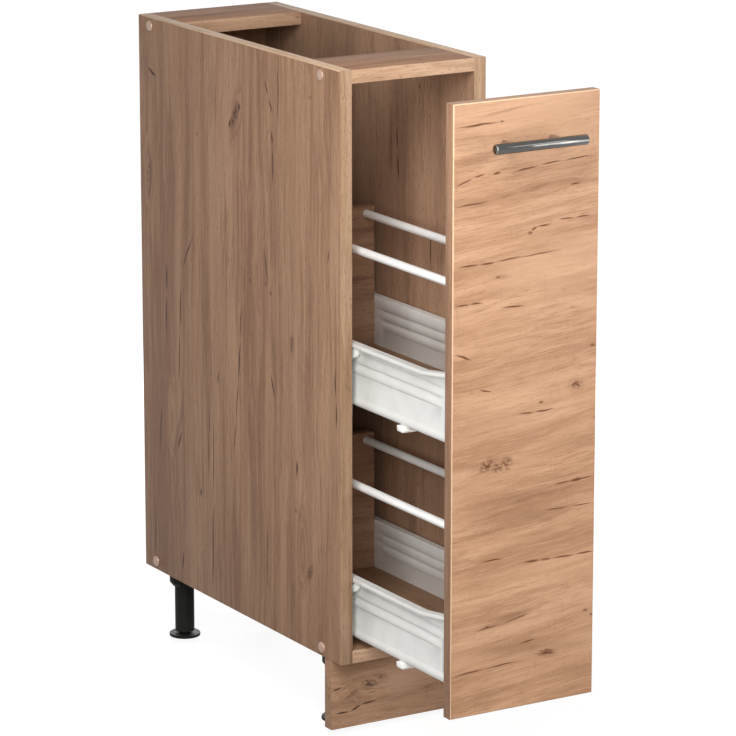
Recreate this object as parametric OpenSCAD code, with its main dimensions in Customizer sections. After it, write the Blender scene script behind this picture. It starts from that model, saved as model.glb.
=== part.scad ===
// Pull-out base unit, 200 mm wide: one full-height front carries two roller drawers.
// X = 0 is the middle of the unit, Y = 0 the front edge of the carcass with the back towards +Y,
// Z = 0 the floor. The pull-out is drawn partly open.

/* [Carcass] */
// Outer width over the two side panels
carcass_w = 200; // [190:10:300]
// Depth of the side panels, without the back panel
carcass_d = 497; // [480:1:560]
// Height of the side panels
carcass_h = 720; // [700:10:800]
// Thickness of the boards
board_t = 16; // [15:1:19]
// Thickness of the hardboard back
back_t = 3; // [2:0.5:4]
// Thickness of the glued edge bands
band_t = 1; // [0.6:0.2:2]
// Depth of the two flat top rails
rail_d = 90; // [80:5:110]
// Height of the carcass above the floor
leg_h = 90; // [80:5:110]

/* [Plinth and legs] */
// Gap between each end of the plinth and the outer face of the unit
plinth_gap = 1; // [0.5:0.5:5]
// How far the plinth lies behind the carcass front
plinth_setback = 24.5; // [20:0.5:40]
// Gap between plinth and floor
plinth_lift = 1; // [0.5:0.5:3]
// Distance of the leg centres from the outer faces of the unit
leg_inset = 32; // [30:1:45]
// Distance of the back legs from the back edge of the side panels
leg_back_inset = 45; // [30:1:80]
// Outer diameter of the leg tube
leg_tube_d = 25; // [24:1:27]
// Diameter of the foot disc
foot_d = 40; // [36:1:42]

/* [Pull-out] */
// How far the front stands off the carcass, as drawn
pull_out_open = 227; // [180:1:300]
// How far the front stands off the carcass at the stop
pull_out_stop = 342; // [310:1:345]
// Gap between the front and the carcass when shut
shut_gap = 2; // [2:0.5:3]
// How much smaller the front is than the carcass, on each edge
front_gap = 2; // [1:0.5:4]
// Width of the sloping front edges of the front
front_slope = 2.5; // [1:0.5:4]
// Distance between the two drawers, in steps of the 32 mm hole system
tier_pitch = 288; // [256:32:384]

/* [Drawer] */
// Length of the drawer sides
drawer_len = 450; // [430:10:450]
// Space between a side panel and the inner face of a drawer side
runner_space = 13; // [13:0.5:14]
// Underside of the drawer sides above the underside of the carcass
side_low = 27.5; // [26:0.5:30]
// Height of the drawer sides behind their raised front part
side_h = 77.5; // [76:0.5:80]
// Rise of the top edge towards the front
side_rise = 9; // [4:1:10]
// Sheet thickness of sides and runners
sheet_t = 1.2; // [1:0.1:1.4]
// Top edge of the drawer back above the underside of the carcass
back_top = 220; // [180:1:230]
// Distance of the gallery rods below the top edge of the drawer back
rod_drop = 9; // [8:1:40]
// Distance of the gallery rods from the drawer sides
rod_inset = 12; // [11:1:20]
// Diameter of the gallery rods
rod_d = 10; // [9:0.5:11]

/* [Handle] */
// Length of the handle bar
handle_len = 124; // [110:1:160]
// Diameter of the handle bar
handle_d = 12; // [10:1:14]
// Distance between the handle screws
handle_hole_step = 64; // [64:32:96]
// Distance from the front face to the middle of the bar
handle_reach = 28; // [24:1:35]
// Handle axis below the top edge of the front
handle_drop = 49.5; // [35:0.5:200]

/* [Rollers] */
// Diameter of all rollers
roller_d = 16; // [14:1:16]
// Width of the rollers
roller_w = 5.6; // [5:0.1:5.6]
// Radial clearance of the rollers on their axles
roller_fit = 0.05; // [0.02:0.01:0.1]
// Gap between a roller and the steel it runs on
roll_gap = 0.3; // [0.3:0.05:0.4]

/* [Hidden] */
$fn = 64;
e = 0.02;
sides = [-1, 1];
tiers = [0, tier_pitch];

half_w = carcass_w / 2;
inner_x = half_w - board_t;
zb = leg_h;
zt = leg_h + carcass_h;

screw_edge = 11;
screw_y_front = 45;
screw_y_back = carcass_d - 30;
screw_d = 5;
screw_len = 50;
screw_head_d = 8.5;
screw_head_h = 3;
hex_deep = 2.5;
bore_end_gap = 0.5;
hole_gap = 0.1;
cap_d = 14;
cap_h = 2.6;
cap_pin_d = 3;
cap_pin_len = 1.5;
hex_d = cap_pin_d + 1;
dowel_d = 8;
dowel_len = 32;
dowel_in_side = 10;
dowel_x1 = inner_x + dowel_in_side;
dowel_x0 = dowel_x1 - dowel_len;
dowel_y_front = rail_d - 18;
dowel_y_back = carcass_d - rail_d + 25;
dowel_y_mid = (screw_y_front + screw_y_back) / 2;

back_inset = 2;
nail_d = 1.6;
nail_len = 16;
nail_head_d = 4.5;
nail_head_h = 0.8;
nail_inset = board_t / 2;
nail_rows = 7;
nail_end = 60;
nail_x_step = 50;

plinth_w = carcass_w - 2 * plinth_gap;
plinth_y1 = plinth_setback + board_t;
plinth_top = zb - 0.5;
leg_x = half_w - leg_inset;
leg_front_y = plinth_y1 + foot_d / 2 + 1.5;
leg_back_y = carcass_d - leg_back_inset;
flange_d = leg_tube_d + 13;
flange_h = 6;
cup_low = 73.5;
cup_neck_low = 68;
cup_wall = 2;
cup_gap = 0.15;
tube_wall = 2;
spigot_d = leg_tube_d - 2 * tube_wall;
spigot_len = 12;
tube_low = 6.5;
tube_plug = 10;
stem_d = 12;
stem_top = 60;
stem_fit = 0.08;
foot_rim_low = 0.4;
foot_rim_h = 3.6;
foot_edge = 1;
foot_hub_d = foot_d - 7;
foot_slots = 6;
foot_slot_w = 1.8;
foot_slot_deep = 2.6;
leg_screw_d = 3.5;
leg_screw_head_d = 5.6;
cup_bay_d = leg_screw_head_d + 3;
leg_screw_off = leg_tube_d / 2 + leg_screw_head_d / 2 + 0.5;
leg_screw_turn = 60;
leg_screw_len = 12;
leg_screw_sink = 2;

clip_z = 46;
clip_h = 14;
clip_t = 2.4;
clip_r = leg_tube_d / 2;
clip_plate_t = 3;
clip_neck = 10;
clip_mouth = leg_tube_d - 8;
clip_mouth_y = leg_front_y + 2;
clip_screw_x = 12;
clip_screw_d = 3;
clip_screw_head_d = 5.5;
clip_screw_head_h = 1.4;
clip_screw_len = 11;
clip_plate_w = 2 * clip_screw_x + 10;

side_in = inner_x - runner_space;
side_out = side_in + sheet_t;
roller_x0 = side_out + 1.6;
roller_x1 = roller_x0 + roller_w;
lip_side_gap = 0.4;
flange_out = roller_x1 + lip_side_gap + sheet_t;
side_top = side_low + side_h;
flange_under = side_top - sheet_t;
lip_drop = 3;

web_x = inner_x - sheet_t;
channel_x = side_out + 1.2;
lip_gap = 0.6;
channel_top = side_top - lip_drop - lip_gap;
channel_hi = channel_top - sheet_t;
channel_lo = channel_hi - roller_d - 2 * roll_gap;
cab_roller_z = flange_under - roll_gap - roller_d / 2;
drawer_roller_z = channel_lo + roll_gap + roller_d / 2;
cab_roller_y = roller_d / 2 - 1;
channel_y0 = cab_roller_y + roller_d / 2 + 3;
runner_y0 = 2;
runner_low = 18;
runner_lip_y0 = 30;
runner_lip_x = channel_x + 0.4;
runner_screw_y = [37, 165, 421];
runner_screw_z = 50;
runner_screw_d = 4;
runner_screw_head_d = 7.5;
runner_screw_head_h = 1.8;
runner_screw_len = 12;
runner_slots = [90, 230, 320];
runner_slot_len = 50;
stop_h = 4;
stop_gap = 0.5;

axle_d = 5;
axle_head_d = 7;
axle_head_h = 1;
axle_recess = 0.2;
axle_shoulder_d = 8;
axle_side_gap = 0.3;
sink_d = axle_head_d + 0.8;
sink_deep = axle_recess + axle_head_h + axle_side_gap;
roller_edge = 0.6;

door_y1 = -pull_out_open;
door_y0 = door_y1 - board_t;
side_y0 = door_y1 + 2;
side_y1 = door_y1 + drawer_len + 0.2;
runner_y1 = side_y1 + pull_out_open - shut_gap + 0.6 + sheet_t;
rise_y0 = door_y1 + 76;
rise_y1 = door_y1 + 12;
back_y1 = side_y1 - sheet_t;
back_y0 = back_y1 - board_t;
bottom_z0 = side_low + sheet_t;
bottom_z1 = bottom_z0 + board_t;
panel_gap = 0.1;
panel_half = side_in - panel_gap;
foot_flange_x = side_in - 17;
rib_z = [side_top - 9.5, side_top - 22, side_top - 34.5];
rib_y0 = door_y1 + 47;
rib_y1 = back_y0 - 20;
rib_deep = 0.6;
rib_low_w = 9;
rib_top_w = 3;
drawer_roller_y = side_y1 - 12.2;
rivet_head_d = 8;
rivet_head_h = 0.8;
rivet_recess_gap = 0.4;
roller_at_stop = drawer_roller_y + pull_out_open - pull_out_stop;
stop_touch = sqrt(pow(roller_d / 2, 2) - pow(roller_d / 2 + roll_gap - stop_h, 2));
stop_y1 = roller_at_stop - stop_touch - stop_gap;

rod_x = side_in - rod_inset;
rod_z = back_top - rod_drop;
rod_wall = 1;
rod_pin_d = rod_d - 2 * rod_wall;
rod_y0 = door_y1 + 3;
socket_y1 = door_y1 + 14;
socket_d = rod_d + 5;
socket_foot_d = rod_d + 9;
socket_foot_t = 2.5;
socket_pin_len = 9;
rod_pin_len = 12;
rod_pin_in_panel = 10;

bracket_t = 1.4;
bracket_z0 = 40;
bracket_z1 = 80;
bracket_leg = 41;
bracket_out = side_out + 19.8;
bracket_screw_x = side_out + 13.8;
bracket_screw_z = [bracket_z0 + 8, bracket_z1 - 8];
bracket_screw_d = 4;
bracket_screw_head_d = 7;
bracket_screw_len = 13.5;
bracket_rivet_y = [door_y1 + 16, door_y1 + 33];
bracket_rivet_z = 56;
bracket_rivet_d = 4;
bracket_rivet_head_d = 7;

floor_screw_x = side_in - 9;
floor_screw_y = [door_y1 + 60, door_y1 + 225, door_y1 + 400];
floor_screw_d = 3;
floor_screw_head_d = 6.5;
floor_screw_head_h = 1.6;
floor_screw_len = 12;
lug_in = side_in - 15;
lug_z0 = 50;
lug_z1 = 98;
lug_screw_x = side_in - 8;
lug_screw_z = [lug_z0 + 10, lug_z1 - 10];

block_y0 = door_y1 + 124;
block_y1 = block_y0 + 13;
block_out = side_in + 6.5;
block_mid = side_in - 5;
block_in = side_in - 14;
block_low = runner_low + sheet_t + 0.3;
block_tongue = 2.5;
block_peg_d = 4;
block_peg_x = side_in - 2.5;
block_peg_y = (block_y0 + block_y1) / 2;
block_peg_top = bottom_z0 + 5.3;

front_w = carcass_w - 2 * front_gap;
front_h = carcass_h - 2 * front_gap;
front_z0 = zb + front_gap;
front_z1 = front_z0 + front_h;
bumper_d = 8;
bumper_h = 1.5;
bumper_x = front_w / 2 - 6;
bumper_edge = 20;
handle_hole_d = 4.4;
handle_screw_d = 4;
handle_screw_head_d = 8;
handle_screw_head_h = 2.4;
handle_screw_in = 14;
post_d = 8;
bar_chamfer = 1;
handle_axis_z = front_z1 - handle_drop;
handle_axis_y = door_y0 - handle_reach;
handle_xs = [-handle_hole_step / 2, handle_hole_step / 2];

c_board = [0.55, 0.44, 0.36];
c_band = [0.79, 0.64, 0.53];
c_front = [0.86, 0.68, 0.52];
c_hardboard = [0.60, 0.50, 0.42];
c_white = [0.93, 0.93, 0.91];
c_steel_white = [0.84, 0.84, 0.82];
c_zinc = [0.70, 0.71, 0.72];
c_black = [0.14, 0.14, 0.14];
c_chrome = [0.75, 0.76, 0.78];
c_beech = [0.80, 0.66, 0.48];
c_rubber = [0.80, 0.80, 0.78];

// Box between two corners, given as lower and upper bounds
module box(x0, x1, y0, y1, z0, z1) {
    translate([min(x0, x1), y0, z0]) cube([abs(x1 - x0), y1 - y0, z1 - z0]);
}

// Round bar along X
module bar_x(d, x0, x1, y, z) {
    translate([min(x0, x1), y, z]) rotate([0, 90, 0]) cylinder(d = d, h = abs(x1 - x0));
}

// Round bar along Y
module bar_y(d, y0, y1, x, z) {
    translate([x, y1, z]) rotate([90, 0, 0]) cylinder(d = d, h = y1 - y0);
}

// Round bar along Z
module bar_z(d, z0, z1, x, y) {
    translate([x, y, z0]) cylinder(d = d, h = z1 - z0);
}

// Plate with a [y, z] outline between two X planes
module plate_yz(points, x0, x1) {
    translate([min(x0, x1), 0, 0]) rotate([90, 0, 90]) linear_extrude(abs(x1 - x0)) polygon(points);
}

// Bar with an [x, z] outline between two Y planes
module bar_xz(points, y0, y1) {
    translate([0, y1, 0]) rotate([90, 0, 0]) linear_extrude(y1 - y0) polygon(points);
}

// Draws its children for the left side by mirroring the right one
module on_side(s) {
    if (s < 0) mirror([1, 0, 0]) children();
    else children();
}

screw_rows_z = [zb + screw_edge, zt - screw_edge];
screw_ys = [screw_y_front, screw_y_back];

// Places of the assembly screws, seen on one side panel
module each_assembly_screw() {
    for (y = screw_ys, z = screw_rows_z) translate([0, y, z]) children();
}

// Places of the dowels, seen on one side panel
module each_dowel() {
    for (p = [[dowel_y_front, zt - board_t / 2], [dowel_y_back, zt - board_t / 2],
              [dowel_y_mid, zb + board_t / 2]])
        translate([0, p[0], p[1]]) children();
}

// Places of the nails as [x, z] on the back
nail_step = (carcass_h - 2 * nail_end) / (nail_rows - 1);
nail_spots = concat(
    [for (s = sides, i = [0:nail_rows - 1]) [s * (half_w - nail_inset), zb + nail_end + i * nail_step]],
    [for (i = [-1:1], z = [zb + nail_inset, zt - nail_inset]) [i * nail_x_step, z]]);

module nail_bores() {
    for (p = nail_spots) bar_y(nail_d, carcass_d + back_t - nail_len - e, carcass_d + e, p[0], p[1]);
}

// Holes of one assembly screw, from the outer face inwards
module screw_bore() {
    bar_x(screw_head_d + hole_gap, half_w - screw_head_h - hole_gap, half_w + e, 0, 0);
    bar_x(screw_d, half_w - screw_len - bore_end_gap, half_w + e, 0, 0);
}

module dowel_bore() {
    bar_x(dowel_d, dowel_x0 - bore_end_gap, dowel_x1 + bore_end_gap, 0, 0);
}

// All holes that the right half of the carcass shares
module carcass_bores() {
    each_assembly_screw() screw_bore();
    each_dowel() dowel_bore();
}

module runner_screw_bores() {
    for (t = tiers, y = runner_screw_y)
        bar_x(runner_screw_d, web_x - e, web_x + runner_screw_len + bore_end_gap, y, zb + t + runner_screw_z);
}

module side_panel(s) {
    color(c_board)
    difference() {
        on_side(s) difference() {
            box(inner_x, half_w, band_t, carcass_d, zb, zt - band_t);
            carcass_bores();
            runner_screw_bores();
        }
        nail_bores();
    }
}

module side_panel_left() { side_panel(-1); }
module side_panel_right() { side_panel(1); }

leg_spots = [for (s = sides, y = [leg_front_y, leg_back_y]) [s * leg_x, y]];
leg_screw_spots = [for (p = leg_spots, v = sides)
    [p[0] + v * leg_screw_off * cos(leg_screw_turn), p[1] + v * leg_screw_off * sin(leg_screw_turn)]];

module bottom_panel() {
    color(c_board)
    difference() {
        box(-inner_x, inner_x, band_t, carcass_d, zb, zb + board_t);
        for (s = sides) on_side(s) carcass_bores();
        nail_bores();
        for (p = leg_screw_spots)
            bar_z(leg_screw_d, zb - e, zb + leg_screw_len - flange_h + bore_end_gap, p[0], p[1]);
    }
}

module top_rail(y0, y1) {
    color(c_board)
    difference() {
        box(-inner_x, inner_x, y0, y1, zt - board_t, zt);
        for (s = sides) on_side(s) carcass_bores();
        nail_bores();
    }
}

module top_rail_front() { top_rail(band_t, rail_d); }
module top_rail_back() { top_rail(carcass_d - rail_d, carcass_d); }

module carcass_edge_bands() {
    color(c_band) {
        for (s = sides) {
            box(s * inner_x, s * half_w, 0, band_t, zb, zt);
            box(s * inner_x, s * half_w, band_t, carcass_d, zt - band_t, zt);
        }
        box(-inner_x, inner_x, 0, band_t, zb, zb + board_t);
        box(-inner_x, inner_x, 0, band_t, zt - board_t, zt);
    }
}

module back_panel() {
    color(c_hardboard)
    difference() {
        box(-half_w + back_inset, half_w - back_inset, carcass_d, carcass_d + back_t,
            zb + back_inset, zt - back_inset);
        for (p = nail_spots) {
            bar_y(nail_d, carcass_d - e, carcass_d + back_t + e, p[0], p[1]);
            bar_y(nail_head_d, carcass_d + back_t - nail_head_h, carcass_d + back_t + e, p[0], p[1]);
        }
    }
}

module back_panel_nails() {
    y1 = carcass_d + back_t;
    color(c_zinc)
    for (p = nail_spots) {
        bar_y(nail_head_d, y1 - nail_head_h, y1, p[0], p[1]);
        bar_y(nail_d, y1 - nail_len, y1 - nail_head_h + e, p[0], p[1]);
    }
}

module assembly_screw() {
    difference() {
        union() {
            bar_x(screw_head_d, half_w - screw_head_h, half_w, 0, 0);
            bar_x(screw_d, half_w - screw_len, half_w - screw_head_h + e, 0, 0);
        }
        translate([half_w - hex_deep, 0, 0]) rotate([0, 90, 0])
            cylinder(d = hex_d, h = hex_deep + e, $fn = 6);
    }
}

module assembly_screws() {
    color(c_zinc) for (s = sides) on_side(s) each_assembly_screw() assembly_screw();
}

module dowels() {
    color(c_beech)
    for (s = sides) on_side(s) each_dowel() bar_x(dowel_d, dowel_x0, dowel_x1, 0, 0);
}

// Domed cap: a slice of a sphere with a pin that sits in the screw's socket
module screw_cap() {
    dome_r = (cap_d * cap_d / 4 + cap_h * cap_h) / (2 * cap_h);
    translate([half_w, 0, 0]) rotate([0, 90, 0]) {
        intersection() {
            translate([0, 0, cap_h - dome_r]) sphere(r = dome_r);
            cylinder(d = cap_d + 1, h = cap_h + 1);
        }
        translate([0, 0, -cap_pin_len]) cylinder(d = cap_pin_d, h = cap_pin_len + e);
    }
}

module screw_caps() {
    color(c_band) for (s = sides) on_side(s) each_assembly_screw() screw_cap();
}

module plinth() {
    color(c_board)
    difference() {
        box(-plinth_w / 2, plinth_w / 2, plinth_setback, plinth_y1, plinth_lift, plinth_top);
        for (s = sides, v = sides)
            bar_y(clip_screw_d, plinth_y1 - clip_screw_len, plinth_y1 + e,
                  s * leg_x + v * clip_screw_x, clip_z + clip_h / 2);
    }
}

// Snap ring round the front leg, open towards the back, on a plate behind the plinth
module plinth_clip(x) {
    plate_y1 = plinth_y1 + clip_plate_t;
    difference() {
        union() {
            bar_z(2 * (clip_r + clip_t), clip_z, clip_z + clip_h, x, leg_front_y);
            box(x - clip_plate_w / 2, x + clip_plate_w / 2, plinth_y1, plate_y1, clip_z, clip_z + clip_h);
            box(x - clip_neck / 2, x + clip_neck / 2, plate_y1 - e, leg_front_y - clip_r - 1,
                clip_z, clip_z + clip_h);
        }
        bar_z(2 * clip_r, clip_z - 1, clip_z + clip_h + 1, x, leg_front_y);
        box(x - clip_mouth / 2, x + clip_mouth / 2, clip_mouth_y, leg_front_y + clip_r + clip_t + 1,
            clip_z - 1, clip_z + clip_h + 1);
        for (v = sides)
            bar_y(clip_screw_d + hole_gap, plinth_y1 - e, plate_y1 + e,
                  x + v * clip_screw_x, clip_z + clip_h / 2);
    }
}

module plinth_clips() { color(c_black) for (s = sides) plinth_clip(s * leg_x); }

module plinth_clip_screws() {
    y1 = plinth_y1 + clip_plate_t;
    color(c_zinc)
    for (s = sides, v = sides) {
        x = s * leg_x + v * clip_screw_x;
        z = clip_z + clip_h / 2;
        bar_y(clip_screw_head_d, y1, y1 + clip_screw_head_h, x, z);
        bar_y(clip_screw_d, y1 - clip_screw_len, y1 + e, x, z);
    }
}

// Cup round the top of a leg tube: it narrows below and has two bays for the socket screws
module leg_cup(p) {
    r = flange_d / 2;
    r_in = leg_tube_d / 2 + cup_gap;
    difference() {
        translate([p[0], p[1], 0]) rotate_extrude()
            polygon([[r_in, cup_neck_low], [r_in + cup_wall, cup_neck_low], [r, cup_low],
                     [r, zb - flange_h + e], [r_in, zb - flange_h + e]]);
        for (v = sides)
            bar_z(cup_bay_d, cup_neck_low - e, zb - flange_h,
                  p[0] + v * leg_screw_off * cos(leg_screw_turn), p[1] + v * leg_screw_off * sin(leg_screw_turn));
    }
}

module leg_sockets() {
    color(c_black)
    difference() {
        for (p = leg_spots) {
            bar_z(flange_d, zb - flange_h, zb, p[0], p[1]);
            bar_z(spigot_d, zb - flange_h - spigot_len, zb - flange_h + e, p[0], p[1]);
            leg_cup(p);
        }
        for (p = leg_screw_spots) {
            bar_z(leg_screw_d + hole_gap, zb - flange_h - e, zb + e, p[0], p[1]);
            bar_z(leg_screw_head_d + hole_gap, zb - flange_h - e, zb - flange_h + leg_screw_sink, p[0], p[1]);
        }
    }
}

module leg_tube(p) {
    difference() {
        bar_z(leg_tube_d, tube_low, zb - flange_h, p[0], p[1]);
        bar_z(spigot_d, tube_low + tube_plug, zb - flange_h + e, p[0], p[1]);
        bar_z(stem_d + 2 * stem_fit, tube_low - e, tube_low + tube_plug + e, p[0], p[1]);
    }
}

module leg_tubes() { color(c_black) for (p = leg_spots) leg_tube(p); }

module leg_screws() {
    color(c_zinc)
    for (p = leg_screw_spots) {
        bar_z(leg_screw_head_d, zb - flange_h, zb - flange_h + leg_screw_sink, p[0], p[1]);
        bar_z(leg_screw_d, zb - flange_h + leg_screw_sink - e, zb - flange_h + leg_screw_len, p[0], p[1]);
    }
}

module foot(p) {
    r = foot_d / 2;
    color(c_black) {
        translate([p[0], p[1], foot_rim_low]) difference() {
            rotate_extrude()
                polygon([[0, 0], [r - foot_edge, 0], [r, foot_edge], [r, foot_rim_h - foot_edge],
                         [r - foot_edge, foot_rim_h], [0, foot_rim_h]]);
            for (k = [0 : foot_slots - 1]) rotate(k * 360 / foot_slots)
                box(-foot_slot_w / 2, foot_slot_w / 2, -r - e, -r + foot_slot_deep, -e, foot_rim_h + e);
        }
        bar_z(foot_hub_d, 0, foot_rim_low + e, p[0], p[1]);
        bar_z(stem_d, foot_rim_low + foot_rim_h - e, stem_top, p[0], p[1]);
    }
}

module foot_front_left() { foot([-leg_x, leg_front_y]); }
module foot_front_right() { foot([leg_x, leg_front_y]); }
module foot_back_left() { foot([-leg_x, leg_back_y]); }
module foot_back_right() { foot([leg_x, leg_back_y]); }

// Steel runner on the right wall: web, roller channel, carrying lip, end stop and front stop
module runner(s, t) {
    z = zb + t;
    color(c_steel_white)
    on_side(s) difference() {
        union() {
            box(web_x, inner_x, runner_y0, runner_y1, z + runner_low, z + channel_top);
            box(channel_x, inner_x, channel_y0, runner_y1, z + channel_hi, z + channel_top);
            box(channel_x, inner_x, channel_y0, runner_y1, z + channel_lo - sheet_t, z + channel_lo);
            box(runner_lip_x, inner_x, runner_lip_y0, runner_y1, z + runner_low, z + runner_low + sheet_t);
            box(channel_x, inner_x, runner_y1 - sheet_t, runner_y1,
                z + channel_lo - sheet_t, z + channel_top);
            box(channel_x, inner_x, stop_y1 - sheet_t, stop_y1, z + channel_lo - e, z + channel_lo + stop_h);
        }
        for (y = runner_screw_y)
            bar_x(runner_screw_d + hole_gap, web_x - e, inner_x + e, y, z + runner_screw_z);
        bar_x(axle_d, web_x - e, inner_x + e, cab_roller_y, z + cab_roller_z);
        for (y = runner_slots)
            box(web_x - e, inner_x + e, y, y + runner_slot_len, z + runner_low + 12, z + channel_lo - 14);
    }
}

module runner_lower_left() { runner(-1, tiers[0]); }
module runner_lower_right() { runner(1, tiers[0]); }
module runner_upper_left() { runner(-1, tiers[1]); }
module runner_upper_right() { runner(1, tiers[1]); }

module runner_screws() {
    color(c_zinc)
    for (s = sides, t = tiers, y = runner_screw_y) on_side(s) {
        z = zb + t + runner_screw_z;
        bar_x(runner_screw_head_d, web_x - runner_screw_head_h, web_x, y, z);
        bar_x(runner_screw_d, web_x - e, web_x + runner_screw_len, y, z);
    }
}

// Axle rivet of a cabinet roller: base in the web, shoulder, journal and a head sunk in the roller
module cabinet_axle() {
    head_x0 = roller_x0 + axle_recess;
    bar_x(axle_d, head_x0, inner_x, 0, 0);
    bar_x(axle_head_d, head_x0, head_x0 + axle_head_h, 0, 0);
    bar_x(axle_shoulder_d, roller_x1 + axle_side_gap, web_x, 0, 0);
}

module cabinet_axles() {
    color(c_zinc)
    for (s = sides, t = tiers) on_side(s)
        translate([0, cab_roller_y, zb + t + cab_roller_z]) cabinet_axle();
}

// Roller drawn about its own axis along X, with its sunk face towards -X
module roller_body() {
    rotate([0, 90, 0]) rotate_extrude() {
        r = roller_d / 2;
        bore = axle_d / 2 + roller_fit;
        polygon([[sink_d / 2, 0], [r - roller_edge, 0], [r, roller_edge], [r, roller_w - roller_edge],
                 [r - roller_edge, roller_w], [bore, roller_w], [bore, sink_deep], [sink_d / 2, sink_deep]]);
    }
}

module cabinet_roller(s, t) {
    color(c_white)
    on_side(s) translate([roller_x0, cab_roller_y, zb + t + cab_roller_z]) roller_body();
}

module cabinet_roller_lower_left() { cabinet_roller(-1, tiers[0]); }
module cabinet_roller_lower_right() { cabinet_roller(1, tiers[0]); }
module cabinet_roller_upper_left() { cabinet_roller(-1, tiers[1]); }
module cabinet_roller_upper_right() { cabinet_roller(1, tiers[1]); }

// Takes the sharp corners off all four front edges of the front
module front_slopes() {
    a = front_slope;
    w = front_w / 2;
    for (s = sides)
        translate([s * w, door_y0, front_z0 - 1]) linear_extrude(front_h + 2)
            polygon([[-a, 0], [0, -a], [a, 0], [0, a]]);
    for (z = [front_z0, front_z1])
        plate_yz([[door_y0 - a, z], [door_y0, z - a], [door_y0 + a, z], [door_y0, z + a]], -w - 1, w + 1);
}

module front_panel() {
    color(c_front)
    difference() {
        box(-front_w / 2, front_w / 2, door_y0, door_y1, front_z0, front_z1);
        front_slopes();
        for (x = handle_xs) bar_y(handle_hole_d, door_y0 - e, door_y1 + e, x, handle_axis_z);
        for (s = sides, t = tiers) {
            bar_y(rod_pin_d, door_y1 - socket_pin_len - bore_end_gap, door_y1 + e, s * rod_x, zb + t + rod_z);
            for (z = bracket_screw_z)
                bar_y(bracket_screw_d, door_y1 + bracket_t - bracket_screw_len - bore_end_gap, door_y1 + e,
                      s * bracket_screw_x, zb + t + z);
        }
    }
}

module handle_bar() {
    r = handle_d / 2;
    color(c_chrome)
    translate([-handle_len / 2, handle_axis_y, handle_axis_z]) rotate([0, 90, 0]) rotate_extrude()
        polygon([[0, 0], [r - bar_chamfer, 0], [r, bar_chamfer], [r, handle_len - bar_chamfer],
                 [r - bar_chamfer, handle_len], [0, handle_len]]);
}

module handle_posts() {
    color(c_chrome)
    for (x = handle_xs) difference() {
        bar_y(post_d, handle_axis_y, door_y0, x, handle_axis_z);
        bar_x(handle_d, x - post_d, x + post_d, handle_axis_y, handle_axis_z);
        bar_y(handle_screw_d, door_y0 - handle_screw_in - bore_end_gap, door_y0 + e, x, handle_axis_z);
    }
}

module handle_screws() {
    color(c_zinc)
    for (x = handle_xs) {
        bar_y(handle_screw_head_d, door_y1, door_y1 + handle_screw_head_h, x, handle_axis_z);
        bar_y(handle_screw_d, door_y0 - handle_screw_in, door_y1 + e, x, handle_axis_z);
    }
}

module bumpers() {
    color(c_rubber)
    for (s = sides, z = [front_z0 + bumper_edge, front_z1 - bumper_edge])
        bar_y(bumper_d, door_y1, door_y1 + bumper_h, s * bumper_x, z);
}

// Top edge of a drawer side as [y, z] points, lowered by drop
function side_edge(z, drop) = [[side_y1, z + side_top - drop], [rise_y0, z + side_top - drop],
                               [rise_y1, z + side_top + side_rise - drop],
                               [side_y0, z + side_top + side_rise - drop]];

// The same edge run backwards, to close an outline
function reversed(points) = [for (i = [len(points) - 1:-1:0]) points[i]];

// Long pressed rib that stands out of a wall whose face is at x, outward (1) or inward (-1)
module pressed_rib(x, z, way) {
    low = rib_low_w / 2;
    top = rib_top_w / 2;
    x0 = x - way * e;
    x1 = x + way * rib_deep;
    bar_xz([[x0, z - low], [x1, z - top], [x1, z + top], [x0, z + low]], rib_y0, rib_y1);
}

// Steel drawer side: wall with pressed ribs, outward top flange, inward bottom flange and rear lug.
// The ribs stand out of the wall's left face on both sides, as the photograph shows
module drawer_side(s, t) {
    z = zb + t;
    z0 = z + side_low;
    raised = s < 0 ? side_out : side_in;
    sunk = s < 0 ? side_in : side_out;
    color(c_steel_white)
    on_side(s) difference() {
        union() {
            plate_yz(concat([[side_y0, z0], [side_y1, z0]], side_edge(z, 0)), side_in, side_out);
            plate_yz(concat(side_edge(z, 0), reversed(side_edge(z, sheet_t))), side_in, flange_out);
            plate_yz(concat(side_edge(z, 0), reversed(side_edge(z, lip_drop))),
                     flange_out - sheet_t, flange_out);
            box(foot_flange_x, side_out, side_y0, side_y1, z0, z0 + sheet_t);
            box(lug_in, side_out, back_y1, side_y1, z + lug_z0, z + lug_z1);
            for (rz = rib_z) pressed_rib(raised, z + rz, -s);
        }
        for (rz = rib_z) pressed_rib(sunk, z + rz, -s);
        bar_x(axle_d, side_in - e, side_out + e, drawer_roller_y, z + drawer_roller_z);
        for (y = floor_screw_y) bar_z(floor_screw_d + hole_gap, z0 - e, z0 + sheet_t + e, floor_screw_x, y);
        for (v = lug_screw_z)
            bar_y(floor_screw_d + hole_gap, back_y1 - e, side_y1 + e, lug_screw_x, z + v);
        for (y = bracket_rivet_y) bar_x(bracket_rivet_d, side_in - e, side_out + e, y, z + bracket_rivet_z);
        bar_z(block_peg_d, z0 - e, z0 + sheet_t + e, block_peg_x, block_peg_y);
    }
}

module drawer_side_lower_left() { drawer_side(-1, tiers[0]); }
module drawer_side_lower_right() { drawer_side(1, tiers[0]); }
module drawer_side_upper_left() { drawer_side(-1, tiers[1]); }
module drawer_side_upper_right() { drawer_side(1, tiers[1]); }

module drawer_bottom(t) {
    z0 = zb + t + bottom_z0;
    color(c_board)
    difference() {
        box(-panel_half, panel_half, door_y1, back_y1, z0, z0 + board_t);
        for (s = sides) {
            for (y = floor_screw_y)
                bar_z(floor_screw_d, z0 - e, z0 - sheet_t + floor_screw_len + bore_end_gap,
                      s * floor_screw_x, y);
            bar_z(block_peg_d, z0 - e, zb + t + block_peg_top + bore_end_gap, s * block_peg_x, block_peg_y);
        }
    }
}

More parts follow.
